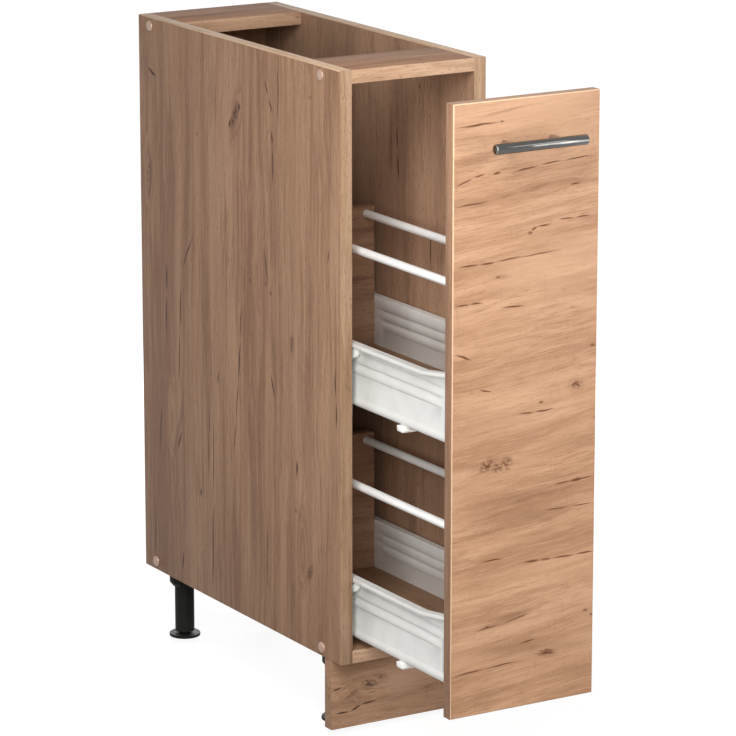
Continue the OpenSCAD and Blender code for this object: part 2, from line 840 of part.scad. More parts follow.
module drawer_bottom_lower() { drawer_bottom(tiers[0]); }
module drawer_bottom_upper() { drawer_bottom(tiers[1]); }

module drawer_back(t) {
    z = zb + t;
    color(c_board)
    difference() {
        box(-panel_half, panel_half, back_y0, back_y1, z + bottom_z1, z + back_top);
        for (s = sides) {
            bar_y(rod_pin_d, back_y0 - e, back_y0 + rod_pin_in_panel + bore_end_gap, s * rod_x, z + rod_z);
            for (v = lug_screw_z)
                bar_y(floor_screw_d, side_y1 - floor_screw_len - bore_end_gap, back_y1 + e,
                      s * lug_screw_x, z + v);
            bar_x(rivet_head_d + 2, s * (side_in - rivet_head_h - rivet_recess_gap), s * (side_in + e),
                  drawer_roller_y, z + drawer_roller_z);
        }
    }
}

module drawer_back_lower() { drawer_back(tiers[0]); }
module drawer_back_upper() { drawer_back(tiers[1]); }

module gallery_rods(t) {
    color(c_steel_white)
    for (s = sides) difference() {
        bar_y(rod_d, rod_y0, back_y0, s * rod_x, zb + t + rod_z);
        bar_y(rod_pin_d, rod_y0 - e, back_y0 + e, s * rod_x, zb + t + rod_z);
    }
}

module gallery_rods_lower() { gallery_rods(tiers[0]); }
module gallery_rods_upper() { gallery_rods(tiers[1]); }

module rod_sockets() {
    color(c_white)
    for (s = sides, t = tiers) {
        x = s * rod_x;
        z = zb + t + rod_z;
        difference() {
            union() {
                bar_y(socket_d, door_y1, socket_y1, x, z);
                bar_y(socket_foot_d, door_y1, door_y1 + socket_foot_t, x, z);
                bar_y(rod_pin_d, door_y1 - socket_pin_len, door_y1 + e, x, z);
            }
            bar_y(rod_d, rod_y0, socket_y1 + e, x, z);
        }
    }
}

module rod_pins() {
    color(c_white)
    for (s = sides, t = tiers)
        bar_y(rod_pin_d, back_y0 - rod_pin_len, back_y0 + rod_pin_in_panel, s * rod_x, zb + t + rod_z);
}

module front_bracket(z) {
    difference() {
        union() {
            box(side_out, side_out + bracket_t, door_y1, door_y1 + bracket_leg,
                z + bracket_z0, z + bracket_z1);
            box(side_out, bracket_out, door_y1, door_y1 + bracket_t, z + bracket_z0, z + bracket_z1);
        }
        for (v = bracket_screw_z)
            bar_y(bracket_screw_head_d, door_y1 - e, door_y1 + bracket_t + e, bracket_screw_x, z + v);
        for (y = bracket_rivet_y)
            bar_x(bracket_rivet_d, side_out - e, side_out + bracket_t + e, y, z + bracket_rivet_z);
    }
}

module front_brackets() {
    color(c_zinc) for (s = sides, t = tiers) on_side(s) front_bracket(zb + t);
}

module bracket_rivets() {
    color(c_zinc)
    for (s = sides, t = tiers, y = bracket_rivet_y) on_side(s) {
        z = zb + t + bracket_rivet_z;
        bar_x(bracket_rivet_d, side_in - e, side_out + bracket_t, y, z);
        bar_x(bracket_rivet_head_d, side_in - rivet_head_h, side_in, y, z);
    }
}

module bracket_screws() {
    color(c_zinc)
    for (s = sides, t = tiers, v = bracket_screw_z) on_side(s) {
        z = zb + t + v;
        bar_y(bracket_screw_head_d, door_y1, door_y1 + bracket_t, bracket_screw_x, z);
        bar_y(bracket_screw_d, door_y1 + bracket_t - bracket_screw_len, door_y1 + e, bracket_screw_x, z);
    }
}

module drawer_screws() {
    color(c_zinc)
    for (s = sides, t = tiers) on_side(s) {
        z0 = zb + t + side_low;
        for (y = floor_screw_y) {
            bar_z(floor_screw_head_d, z0 - floor_screw_head_h, z0, floor_screw_x, y);
            bar_z(floor_screw_d, z0 - e, z0 + floor_screw_len, floor_screw_x, y);
        }
        for (v = lug_screw_z) {
            bar_y(floor_screw_head_d, side_y1, side_y1 + floor_screw_head_h, lug_screw_x, zb + t + v);
            bar_y(floor_screw_d, side_y1 - floor_screw_len, side_y1 + e, lug_screw_x, zb + t + v);
        }
    }
}

// Hook-shaped plastic block under the side, which rests on the runner's lip when the unit is shut
module guide_block(z) {
    box(block_mid, block_out, block_y0, block_y1, z + block_low, z + side_low);
    box(block_in, block_mid + e, block_y0, block_y1, z + block_low, z + block_low + block_tongue);
    bar_z(block_peg_d, z + side_low - e, z + block_peg_top, block_peg_x, block_peg_y);
}

module guide_blocks() {
    color(c_white) for (s = sides, t = tiers) on_side(s) guide_block(zb + t);
}

// Axle rivet of a drawer roller: head inside the wall, shoulder, journal and sunk outer head
module drawer_axle() {
    head_x1 = roller_x1 - axle_recess;
    bar_x(rivet_head_d, side_in - rivet_head_h, side_in, 0, 0);
    bar_x(axle_d, side_in - e, head_x1, 0, 0);
    bar_x(axle_shoulder_d, side_out, roller_x0 - axle_side_gap, 0, 0);
    bar_x(axle_head_d, head_x1 - axle_head_h, head_x1, 0, 0);
}

module drawer_axles() {
    color(c_zinc)
    for (s = sides, t = tiers) on_side(s)
        translate([0, drawer_roller_y, zb + t + drawer_roller_z]) drawer_axle();
}

module drawer_roller(s, t) {
    color(c_white)
    on_side(s) translate([roller_x1, drawer_roller_y, zb + t + drawer_roller_z])
        mirror([1, 0, 0]) roller_body();
}

module drawer_roller_lower_left() { drawer_roller(-1, tiers[0]); }
module drawer_roller_lower_right() { drawer_roller(1, tiers[0]); }
module drawer_roller_upper_left() { drawer_roller(-1, tiers[1]); }
module drawer_roller_upper_right() { drawer_roller(1, tiers[1]); }

side_panel_left();
side_panel_right();
bottom_panel();
top_rail_front();
top_rail_back();
carcass_edge_bands();
back_panel();
back_panel_nails();
assembly_screws();
dowels();
screw_caps();
plinth();
plinth_clips();
plinth_clip_screws();
leg_sockets();
leg_tubes();
leg_screws();
runner_lower_left();
runner_lower_right();
runner_upper_left();
runner_upper_right();
runner_screws();
cabinet_axles();
cabinet_roller_lower_left();
cabinet_roller_lower_right();
cabinet_roller_upper_left();
cabinet_roller_upper_right();
foot_front_left();
foot_front_right();
foot_back_left();
foot_back_right();
front_panel();
handle_bar();
handle_posts();
handle_screws();
bumpers();
drawer_side_lower_left();
drawer_side_lower_right();
drawer_side_upper_left();
drawer_side_upper_right();
drawer_bottom_lower();
drawer_bottom_upper();
drawer_back_lower();
drawer_back_upper();
gallery_rods_lower();
gallery_rods_upper();
rod_sockets();
rod_pins();
front_brackets();
bracket_rivets();
bracket_screws();
drawer_screws();
guide_blocks();
drawer_axles();
drawer_roller_lower_left();
drawer_roller_lower_right();
drawer_roller_upper_left();
drawer_roller_upper_right();
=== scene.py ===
"""Looks of a narrow kitchen base unit with a pull-out front and two steel-sided drawers."""

import logging
import math
from dataclasses import dataclass, field, replace
from enum import Enum
from typing import Callable, Optional, Sequence, Union

import bpy
from mathutils import Matrix, Vector


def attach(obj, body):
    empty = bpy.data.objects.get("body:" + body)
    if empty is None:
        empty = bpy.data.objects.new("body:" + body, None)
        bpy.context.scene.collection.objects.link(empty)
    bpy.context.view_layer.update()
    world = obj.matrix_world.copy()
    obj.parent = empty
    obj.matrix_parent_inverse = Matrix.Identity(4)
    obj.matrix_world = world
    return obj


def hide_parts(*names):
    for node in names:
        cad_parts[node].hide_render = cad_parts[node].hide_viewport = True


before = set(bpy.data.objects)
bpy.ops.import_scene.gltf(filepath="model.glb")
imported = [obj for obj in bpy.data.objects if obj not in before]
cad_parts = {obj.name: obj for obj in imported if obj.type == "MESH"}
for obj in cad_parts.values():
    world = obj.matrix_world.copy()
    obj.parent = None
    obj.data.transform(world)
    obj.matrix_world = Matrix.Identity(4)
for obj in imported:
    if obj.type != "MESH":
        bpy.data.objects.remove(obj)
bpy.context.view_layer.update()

LOG = logging.getLogger("pull_out_unit")
MM = 0.001
Point = tuple[float, float, float]
Pair = tuple[float, float]
Rings = tuple[Pair, ...]
Tree = bpy.types.NodeTree
Socket = bpy.types.NodeSocket
Piece = bpy.types.Object
Paint = bpy.types.Material
# what the input of a node takes: the socket that feeds it, or a plain value
Feed = Union[Socket, float, Sequence[float]]
# told a face's centre in mm and its normal, gives the number of its finish
Chooser = Callable[[Vector, Vector], int]


class Worded(Enum):
    """An Enum whose members know the word that node names use."""

    @property
    def word(self) -> str:
        """The member's name in small letters."""
        return self.name.lower()


class Side(Worded):
    """Left or right half of the unit, as the sign of X."""

    LEFT = -1
    RIGHT = 1


class Tier(Worded):
    """The two drawers, as their lift over the carcass bottom in mm."""

    LOWER = 0.0
    UPPER = 288.0


class Grain(Enum):
    """The row axis that the fibres of a decor run along."""

    CROSSWISE = 0
    LENGTHWISE = 1
    UPRIGHT = 2


class Axis(Enum):
    """The row axis that a turned piece stands on, as the turn that lays +Z on it."""

    X = (0.0, 90.0, 0.0)
    Y = (-90.0, 0.0, 0.0)
    Z = (0.0, 0.0, 0.0)


# ---------------------------------------------------------------- nodes


def linear(code: str) -> tuple[float, float, float, float]:
    """Turns an sRGB hex colour into a linear one.

    Args:
        code: six hex digits, with or without a leading #.

    Returns:
        Red, green, blue and an alpha of one.
    """
    parts = [int(code.lstrip("#")[i : i + 2], 16) / 255 for i in (0, 2, 4)]
    red, green, blue = (p / 12.92 if p <= 0.04045 else ((p + 0.055) / 1.055) ** 2.4 for p in parts)
    return (red, green, blue, 1.0)


def add(
    tree: Tree, kind: str, inputs: Optional[dict[Union[str, int], Feed]] = None, **settings: str
) -> bpy.types.Node:
    """Adds one node with its settings, values and links.

    Args:
        tree: the node tree that it goes into.
        kind: the node's type name without its ShaderNode prefix.
        inputs: socket name or number to a value, or to the socket that feeds it.
        settings: properties of the node.

    Returns:
        The new node.
    """
    made = tree.nodes.new("ShaderNode" + kind)
    for key, value in settings.items():
        setattr(made, key, value)
    for key, value in (inputs or {}).items():
        if isinstance(value, Socket):
            tree.links.new(value, made.inputs[key])
        else:
            made.inputs[key].default_value = value
    return made


def calc(tree: Tree, operation: str, first: Feed, second: Feed) -> Socket:
    """Works out one number from two numbers or sockets."""
    return add(tree, "Math", {0: first, 1: second}, operation=operation).outputs[0]


def vector(tree: Tree, operation: str, inputs: dict[Union[str, int], Feed], output: str = "Vector") -> Socket:
    """Works out one vector, or its length, from the inputs of a vector node."""
    return add(tree, "VectorMath", inputs, operation=operation).outputs[output]


def spread(tree: Tree, value: Feed, **limits: float) -> Socket:
    """Maps a value evenly; limits are from_min, from_max, to_min and to_max, 0 and 1 where left out."""
    names = {key.replace("_", " ").title(): number for key, number in limits.items()}
    return add(tree, "MapRange", {"Value": value, **names}).outputs["Result"]


def fade(tree: Tree, value: Feed, low: float, high: float, to: float = 1.0) -> Socket:
    """Maps a value smoothly, from 0 where it is low to a peak where it is high."""
    limits = {"Value": value, "From Min": low, "From Max": high, "To Max": to}
    return add(tree, "MapRange", limits, interpolation_type="SMOOTHSTEP").outputs["Result"]


def blend(tree: Tree, share: Feed, below: Feed, above: Feed) -> Socket:
    """Lays a share of one colour over another."""
    return add(tree, "Mix", {0: share, 6: below, 7: above}, data_type="RGBA").outputs[2]


def even_noise(
    tree: Tree, place: Socket, scale: float, detail: float, rough: float = 0.5, output: str = "Fac"
) -> Socket:
    """A noise of about 0.5 on average: one value from Fac, three from Color."""
    inputs = {"Vector": place, "Scale": scale, "Detail": detail, "Roughness": rough}
    return add(tree, "TexNoise", inputs).outputs[output]


def background_rays(tree: Tree) -> Socket:
    """Tells the rays that see the background: from the eye, off a mirror and through glass.

    Args:
        tree: the node tree.

    Returns:
        1 for such a ray and 0 for others.
    """
    path = add(tree, "LightPath").outputs
    seen = calc(tree, "MAXIMUM", path["Is Camera Ray"], path["Is Glossy Ray"])
    return calc(tree, "MAXIMUM", seen, path["Is Transmission Ray"])


def start(name: str) -> tuple[Paint, Tree, bpy.types.Node, Socket]:
    """Starts a material.

    Args:
        name: the material's name.

    Returns:
        The material, its tree, its surface shader and the object coordinates in metres.
    """
    material = bpy.data.materials.new(name)
    material.use_nodes = True
    tree = material.node_tree
    return material, tree, tree.nodes["Principled BSDF"], add(tree, "TexCoord").outputs["Object"]


def relief(tree: Tree, shader: bpy.types.Node, height: Socket, strength: float, deep_mm: float) -> None:
    """Presses a pattern into a surface as a fine bump."""
    bump = add(tree, "Bump", {"Height": height, "Strength": strength, "Distance": deep_mm * MM})
    tree.links.new(bump.outputs[0], shader.inputs["Normal"])


def shine(tree: Tree, shader: bpy.types.Node, pattern: Socket, low: float, high: float) -> None:
    """Lets the roughness follow a pattern, from low to high."""
    tree.links.new(spread(tree, pattern, to_min=low, to_max=high), shader.inputs["Roughness"])


# ---------------------------------------------------------------- finishes


@dataclass(frozen=True)
class Mark:
    """A knot, crack or stain in the printed decor, in mm on the face.

    kind is C for a crack, S for a pin knot, K for a knot, T for a stain, L for a pale patch, on the front a
    painted pool of light, and B for a place that the fibres flow round.
    """

    kind: str
    across: float
    along: float
    half_across: float
    half_along: float
    tilt: float = 0.0


def marks(**kinds: Sequence[tuple]) -> tuple[Mark, ...]:
    """Makes marks from rows of numbers, kind by kind."""
    return tuple(Mark(kind, *row) for kind, rows in kinds.items() for row in rows)


@dataclass(frozen=True)
class OakDecor:
    """Chipboard faced with melamine paper: a printed oak decor, pressed matt with a light pore.

    The print gives the eye broad soft bands, fine fibres, short dark pores and a few old knots.
    Sizes of a pattern are in mm, across the grain and along it.
    """

    name: str
    base: str = "977559"
    light: str = "A88465"
    dark: str = "785B46"
    crack: str = "412E25"
    grain: Grain = Grain.UPRIGHT
    seed: Point = (0.0, 0.0, 0.0)
    band_mm: Pair = (46.0, 420.0)
    band_share: float = 0.85
    streak_mm: Pair = (8.0, 120.0)
    streak_share: float = 0.5
    fibre_mm: Pair = (2.2, 26.0)
    fibre_share: float = 0.5
    pore_share: float = 0.5
    wave_mm: float = 5.0
    saw_share: float = 0.0
    tilt: float = 0.0
    crack_wide: float = 1.5
    roughness: float = 0.5
    gloss: float = 0.1
    low_shade: float = 1.0
    flaws: tuple[Mark, ...] = ()

    def stretched(self, tree: Tree, place: Socket, size_mm: Pair) -> Socket:
        """Draws coordinates out along the grain, so that 1 is a pattern's size."""
        scales = [1000 / size_mm[0]] * 3
        scales[self.grain.value] = 1000 / size_mm[1]
        return add(tree, "Mapping", {"Vector": place, "Scale": scales}).outputs[0]

    def noise(self, tree: Tree, place: Socket, size_mm: Pair, detail: float = 2.0, rough: float = 0.5) -> Socket:
        """A noise that is drawn out along the grain."""
        return even_noise(tree, self.stretched(tree, place, size_mm), 1.0, detail, rough)

    def shifted(self, tree: Tree, place: Socket, size_mm: Pair, reach_mm: float) -> Socket:
        """Moves coordinates about by a noise.

        Args:
            tree: the node tree.
            place: the coordinates in metres.
            size_mm: the noise's size across and along the grain.
            reach_mm: how far it moves them at most.

        Returns:
            The moved coordinates.
        """
        wave = even_noise(tree, self.stretched(tree, place, size_mm), 1.0, 1.5, output="Color")
        wave = vector(tree, "SUBTRACT", {0: wave, 1: (0.5, 0.5, 0.5)})
        # a noise seldom leaves its middle by more than a quarter
        return vector(tree, "MULTIPLY_ADD", {0: wave, 1: (4 * reach_mm * MM,) * 3, 2: place})

    def spot_on(self, mark: Mark) -> dict:
        """Works out where a mark lies.

        Args:
            mark: the mark.

        Returns:
            Its place, turn and size, as a Mapping node takes them.
        """
        centre, size, turn = [0.0] * 3, [10.0] * 3, [0.0] * 3
        along = self.grain.value
        across, third = (1, 0) if self.grain is Grain.UPRIGHT else (2, 1)
        # a crack is drawn a little wider than it is, so that it shows
        wide = mark.half_across * (self.crack_wide if mark.kind == "C" else 1.0)
        centre[across], centre[along] = mark.across * MM, mark.along * MM
        size[across], size[along] = wide * MM, mark.half_along * MM
        turn[third] = math.radians(-mark.tilt)
        return {"Location": centre, "Rotation": turn, "Scale": size}

    def far(self, tree: Tree, place: Socket, mark: Mark) -> Socket:
        """How far a place lies from a mark's middle, where 1 is the mark's outline."""
        spot = add(tree, "Mapping", {"Vector": place, **self.spot_on(mark)}, vector_type="TEXTURE")
        return vector(tree, "LENGTH", {0: spot.outputs[0]}, "Value")

    def flaw_share(self, tree: Tree, place: Socket, strength: dict[str, float]) -> Optional[Socket]:
        """Draws marks one over the other.

        Args:
            tree: the node tree.
            place: the coordinates in metres.
            strength: the kinds that are drawn and how strong each is.

        Returns:
            How much of the marks shows, or nothing where the face has none.
        """
        total = None
        for mark in self.flaws:
            if mark.kind not in strength:
                continue
            solid = {"K": 0.25, "C": 0.3}.get(mark.kind, 0.0)
            shown = fade(tree, self.far(tree, place, mark), 1.1, solid, strength[mark.kind])
            if mark.kind == "K":
                # an old knot is a scribble of dark veins
                veins = fade(tree, self.noise(tree, place, (3, 6), 3.0, 0.75), 0.42, 0.55)
                shown = calc(tree, "MULTIPLY", shown, veins)
            total = shown if total is None else calc(tree, "MAXIMUM", total, shown)
        return total

    def flow(self, tree: Tree, place: Socket, bent: Socket) -> Socket:
        """Spreads the fibres round the knots.

        Args:
            tree: the node tree.
            place: the coordinates in metres.
            bent: the coordinates that the fibres are drawn on.

        Returns:
            The spread coordinates.
        """
        for mark in self.flaws:
            if mark.kind == "B":
                share = fade(tree, self.far(tree, place, mark), 1.0, 0.0, 0.45)
                away = vector(tree, "SUBTRACT", {0: place, 1: self.spot_on(mark)["Location"]})
                pull = vector(tree, "SCALE", {0: away, "Scale": share})
                bent = vector(tree, "SUBTRACT", {0: bent, 1: pull})
        return bent

    def material(self) -> Paint:
        """Builds the decor."""
        material, tree, shader, place = start(self.name)
        light, dark, crack = linear(self.light), linear(self.dark), linear(self.crack)
        turn = [0.0] * 3
        turn[0 if self.grain is Grain.UPRIGHT else 1] = math.radians(self.tilt)
        seeded = add(tree, "Mapping", {"Vector": place, "Location": self.seed, "Rotation": turn}).outputs[0]
        # slow waves bend the grain by a few millimetres
        bent = self.flow(tree, place, self.shifted(tree, seeded, (110, 240), self.wave_mm))
        # the print is calm in some patches and lively in others
        lively = spread(tree, self.noise(tree, seeded, (38, 130), 1.0), from_min=0.36, from_max=0.62, to_min=0.35)

        # broad bands from lighter to darker wood
        band = self.noise(tree, bent, self.band_mm)
        colour = blend(tree, fade(tree, band, 0.5, 0.66, self.band_share), linear(self.base), light)
        colour = blend(tree, fade(tree, band, 0.5, 0.35, self.band_share), colour, dark)
        # streaks of late wood, then fibres, drawn coarser than the real 0.3 mm so that they show
        streak = self.noise(tree, bent, self.streak_mm, 3.0, 0.6)
        fibre = self.noise(tree, bent, self.fibre_mm, 3.0, 0.65)
        for lines, to_dark, to_light, share, pale in (
            (streak, (0.51, 0.66), (0.47, 0.34), self.streak_share, 0.7),
            (fibre, (0.5, 0.68), (0.46, 0.3), self.fibre_share, 0.6),
        ):
            late = calc(tree, "MULTIPLY", fade(tree, lines, *to_dark, share), lively)
            colour = blend(tree, late, colour, dark)
            colour = blend(tree, fade(tree, lines, *to_light, share * pale), colour, light)
        # short pores and flecks
        pore = self.noise(tree, bent, (1.7, 8), 1.0)
        colour = blend(tree, fade(tree, pore, 0.62, 0.76, self.pore_share), colour, crack)
        if self.saw_share:
            # faint marks of the saw stand across the grain, in patches
            saw = fade(tree, self.noise(tree, seeded, (50, 2.0), 1.0), 0.5, 0.7)
            patch = fade(tree, self.noise(tree, seeded, (30, 40), 1.0), 0.52, 0.68, self.saw_share)
            colour = blend(tree, calc(tree, "MULTIPLY", patch, saw), colour, dark)
        # pale patches, partly painted light, knots and cracks; their outlines wander
        wander = self.shifted(tree, place, (12, 34), 1.1)
        pale_and_lit_patches = self.flaw_share(tree, wander, {"L": 0.6})
        if pale_and_lit_patches is not None:
            colour = blend(tree, pale_and_lit_patches, colour, light)
        flaws = self.flaw_share(tree, wander, {"C": 1.0, "S": 0.9, "K": 0.9, "T": 0.38})
        if flaws is not None:
            broken = fade(tree, self.noise(tree, place, (9, 60), 1.5), 0.05, 0.38)
            colour = blend(tree, calc(tree, "MULTIPLY", flaws, broken), colour, crack)
        if self.low_shade < 1.0:
            # painted shade: darker toward the floor, from 0.8 m down to 0.1 m
            height = add(tree, "SeparateXYZ", {0: place}).outputs["Z"]
            level = spread(tree, height, from_min=0.1, from_max=0.8, to_min=self.low_shade)
            colour = vector(tree, "SCALE", {0: colour, "Scale": level})
        tree.links.new(colour, shader.inputs["Base Color"])
        shine(tree, shader, fibre, self.roughness - 0.06, self.roughness + 0.1)
        relief(tree, shader, fibre, 0.12, 0.4)
        shader.inputs["IOR"].default_value = 1.5
        shader.inputs["Specular IOR Level"].default_value = self.gloss
        return material


@dataclass(frozen=True)
class Chipboard:
    """Raw core of the boards: glued chips, sawn across, on the edges that carry no band."""

    name: str = "Chipboard_sawn_core"

    def material(self) -> Paint:
        """Builds the core: pale chips of a few millimetres with dark gaps."""
        material, tree, shader, place = start(self.name)
        chips = add(tree, "TexVoronoi", {"Vector": place, "Scale": 420.0}, feature="F1")
        tone = add(tree, "SeparateColor", {0: chips.outputs["Color"]}).outputs[0]
        colour = blend(tree, tone, linear("B08D64"), linear("CDB089"))
        colour = blend(tree, fade(tree, chips.outputs["Distance"], 0.5, 0.9, 0.7), colour, linear("6E5337"))
        small = fade(tree, even_noise(tree, place, 900.0, 2.0), 0.55, 0.75, 0.4)
        tree.links.new(blend(tree, small, colour, linear("8A6B48")), shader.inputs["Base Color"])
        relief(tree, shader, tone, 0.4, 0.3)
        shader.inputs["Roughness"].default_value = 0.85
        return material


@dataclass(frozen=True)
class Moulded:
    """Plastic or powder coat: an even colour with a very fine grain and slow shine changes."""

    name: str
    colour: str
    shade: str
    roughness: float = 0.35
    grit_mm: float = 0.8
    bump: float = 0.06
    sheen: float = 0.5

    def material(self) -> Paint:
        """Builds the plastic."""
        material, tree, shader, place = start(self.name)
        slow = fade(tree, even_noise(tree, place, 45.0, 2.0), 0.35, 0.7)
        tree.links.new(blend(tree, slow, linear(self.colour), linear(self.shade)), shader.inputs["Base Color"])
        grit = even_noise(tree, place, 1000 / self.grit_mm, 1.0)
        shine(tree, shader, grit, self.roughness - 0.05, self.roughness + 0.08)
        relief(tree, shader, grit, self.bump, 0.2)
        shader.inputs["Specular IOR Level"].default_value = self.sheen
        return material


@dataclass(frozen=True)
class Metal:
    """Bare or plated metal: even colour, with a grain that the shine follows a little."""

    name: str
    colour: str
    shade: str
    roughness: float
    fine: float = 300.0
    bump: float = 0.05

    def material(self) -> Paint:
        """Builds the metal."""
        material, tree, shader, place = start(self.name)
        spot = add(tree, "Mapping", {"Vector": place, "Scale": (self.fine,) * 3}).outputs[0]
        grain = even_noise(tree, spot, 1.0, 3.0)
        tone = fade(tree, grain, 0.35, 0.7)
        tree.links.new(blend(tree, tone, linear(self.colour), linear(self.shade)), shader.inputs["Base Color"])
        shine(tree, shader, grain, self.roughness * 0.8, self.roughness * 1.3)
        relief(tree, shader, grain, self.bump, 0.1)
        shader.inputs["Metallic"].default_value = 1.0
        return material


Finish = Union[OakDecor, Chipboard, Moulded, Metal]

SIDE_MARKS = marks(
    C=[
        (240, 731, 1.6, 6, -8), (263, 708, 1.6, 7, -26), (463, 741, 1.5, 14, 63), (173, 766, 0.8, 13, 25),
        (163, 745, 0.8, 14, 26), (160, 705, 1.2, 12, 3), (159, 673, 1.1, 27, 1), (145, 763, 0.7, 51, -1),
        (375, 527, 1, 32, -32), (431, 484, 1.4, 22, 1), (177, 547, 0.9, 26, 9), (28, 587, 0.7, 13, -13),
        (432, 435, 1.1, 34, -1), (395, 450, 1.1, 32, -4), (399, 387, 1.1, 41, -3), (239, 463, 1, 25, -4),
        (244, 414, 1, 33, -7), (251, 362, 0.7, 29, -7), (256, 316, 0.7, 25, -8), (161, 399, 1.4, 18, 18),
        (103, 310, 1.3, 13, -1), (12, 437, 0.9, 24, 3), (10, 398, 0.9, 21, 3), (312, 276, 0.7, 70, -1),
        (315, 159, 1.1, 64, -2), (323, 297, 0.8, 56, -3), (451, 283, 1.1, 39, -4), (400, 278, 1.3, 16, -24),
        (298, 382, 1, 11, -9), (177, 185, 0.8, 52, -2), (394, 120, 1.3, 15, -7), (468, 140, 0.8, 44, -4),
    ],
    S=[
        (347, 681, 2, 4), (416, 708, 1.5, 3), (69, 769, 1.5, 3), (169, 712, 2, 4), (215, 521, 2.2, 4),
        (177, 524, 2, 4), (165, 514, 2, 4), (345, 223, 3.5, 7), (359, 337, 1.5, 3), (106, 257, 2, 4),
    ],
    K=[(251, 718, 8, 26, -28), (114, 462, 6, 13), (73, 187, 7, 16, -28), (474, 615, 5, 22, -12)],
    T=[
        (252, 717, 9, 28, -30), (114, 460, 8, 20), (401, 296, 4, 44, -24), (73, 187, 9, 20, -30),
        (471, 605, 7, 38, -9), (405, 287, 6, 64, -18), (160, 443, 7, 96, 4),
    ],
    B=[(476, 610, 14, 60), (250, 715, 18, 60, -20), (420, 300, 16, 70), (90, 210, 18, 70)],
)

# on the front, the pale patches near the top are painted light and the broad stain at 322 mm is painted shade: they
# draw the front lighter toward its top
FRONT_MARKS = marks(
    C=[
        (782, -66, 1.2, 33, 1), (719, -84, 1.1, 15, 19), (725, -64, 1.1, 10, 11), (726, -41, 1.3, 6, 6),
        (727, -1, 1.2, 20, 6), (730, 32, 1, 17, 5), (732, 69, 1, 25, 4), (693, -73, 1.1, 28, 5),
        (703, 66, 1.1, 9, 3), (664, 54, 1.2, 13, -1), (664, 76, 1.2, 13, 1), (657, 10, 1, 6, 18),
        (659, 23, 1, 10, 2), (623, -77, 1.3, 16, -1), (623, -52, 1.3, 12, 2), (625, -24, 0.9, 21, 5),
        (627, 19, 0.9, 30, 2), (579, -85, 1.1, 11), (579, -67, 1.1, 10, 1), (570, -17, 1, 19, -1),
        (519, -84, 1.3, 13, -19), (469, 66, 1.4, 6, 35), (476, -53, 1, 11, -11), (443, 2, 1.1, 13, -3),
        (443, 26, 1.1, 16), (388, -50, 1.2, 8, 28), (354, 71, 2.2, 11, 6), (353, 53, 1, 17, 3), (355, 82, 1, 16, 7),
        (324, 44, 0.9, 22), (324, 80, 0.9, 19, -1), (266, 12, 1.4, 13, -3), (265, 31, 1.4, 10, -2),
        (265, 55, 1.1, 19), (265, 84, 1.1, 15, 1), (275, -43, 1, 19, 1), (195, -49, 1, 20, 5),
        (200, -11, 1.1, 24, 12), (152, 34, 1.6, 14, -6), (170, 6, 1, 14, 6), (145, -73, 1, 25, 3),
        (147, -29, 1, 26, 3),
    ],
    S=[
        (783, -34, 2, 4), (653, 4, 3, 5), (606, -37, 2.5, 6), (512, 92, 3, 6), (453, 22, 2.5, 5), (196, -49, 3, 6),
        (195, 86, 2.5, 5), (189, 96, 2.5, 5),
    ],
    K=[
        (467, 70, 8, 10, 30), (387, -26, 11, 14, 20), (385, -38, 8, 13, 8), (389, -50, 10, 20, 22),
        (153, 32, 6, 19, -3),
    ],
    T=[
        (795, -30, 2.5, 54, 6), (698, -31, 3, 21, 9), (704, 12, 3, 28, 7), (707, 63, 3, 30, -1), (606, -33, 5, 15),
        (467, 70, 12, 16), (387, -42, 15, 34, 6), (313, 32, 8, 22), (152, 35, 9, 20), (388, -53, 9, 54, -2),
        (345, 10, 11, 90, 4), (203, -18, 9, 48, 9), (164, 1, 13, 107, -4), (745, -60, 8, 40, 8), (322, 0, 18, 110),
    ],
    L=[(796, 0, 34, 150), (752, 30, 16, 80, 6), (612, 20, 30, 120, 4)],
)

PLINTH_MARKS = marks(
    C=[(21, -84, 1.1, 12), (24, -65, 1.1, 10, 21), (28, -46, 0.9, 12, 3), (52, -91, 1, 8, 12)],
    S=[(57, -30, 2, 4)],
    K=[(52, -44, 7, 14, -15)],
    T=[(49, -47, 6, 27, 9), (58, -30, 7, 16, -20), (42, -70, 4, 20, 30)],
    L=[(48, 0, 34, 46)],
    B=[(40, -45, 26, 60)],
)

INNER_MARKS = marks(
    C=[(174, 687, 1, 18, 4), (171, 652, 1, 23, 4), (96, 560, 0.9, 30, 3), (20, 470, 0.9, 40, -2)],
    S=[(122, 758, 2.5, 5), (60, 610, 2, 4)],
    T=[(189, 667, 6, 60, -2), (330, 620, 5, 80, 1)],
)

BOARD = OakDecor(
    "Oak_brown_melamine_upright", "9A785F", "AB886D", "7F5D4A", "4A3128", band_mm=(28.0, 520.0), band_share=0.7,
    streak_mm=(6.0, 170.0), streak_share=0.75, fibre_mm=(2.2, 24.0), fibre_share=0.6, pore_share=0.35,
    wave_mm=6.0, crack_wide=1.8, flaws=SIDE_MARKS,
)
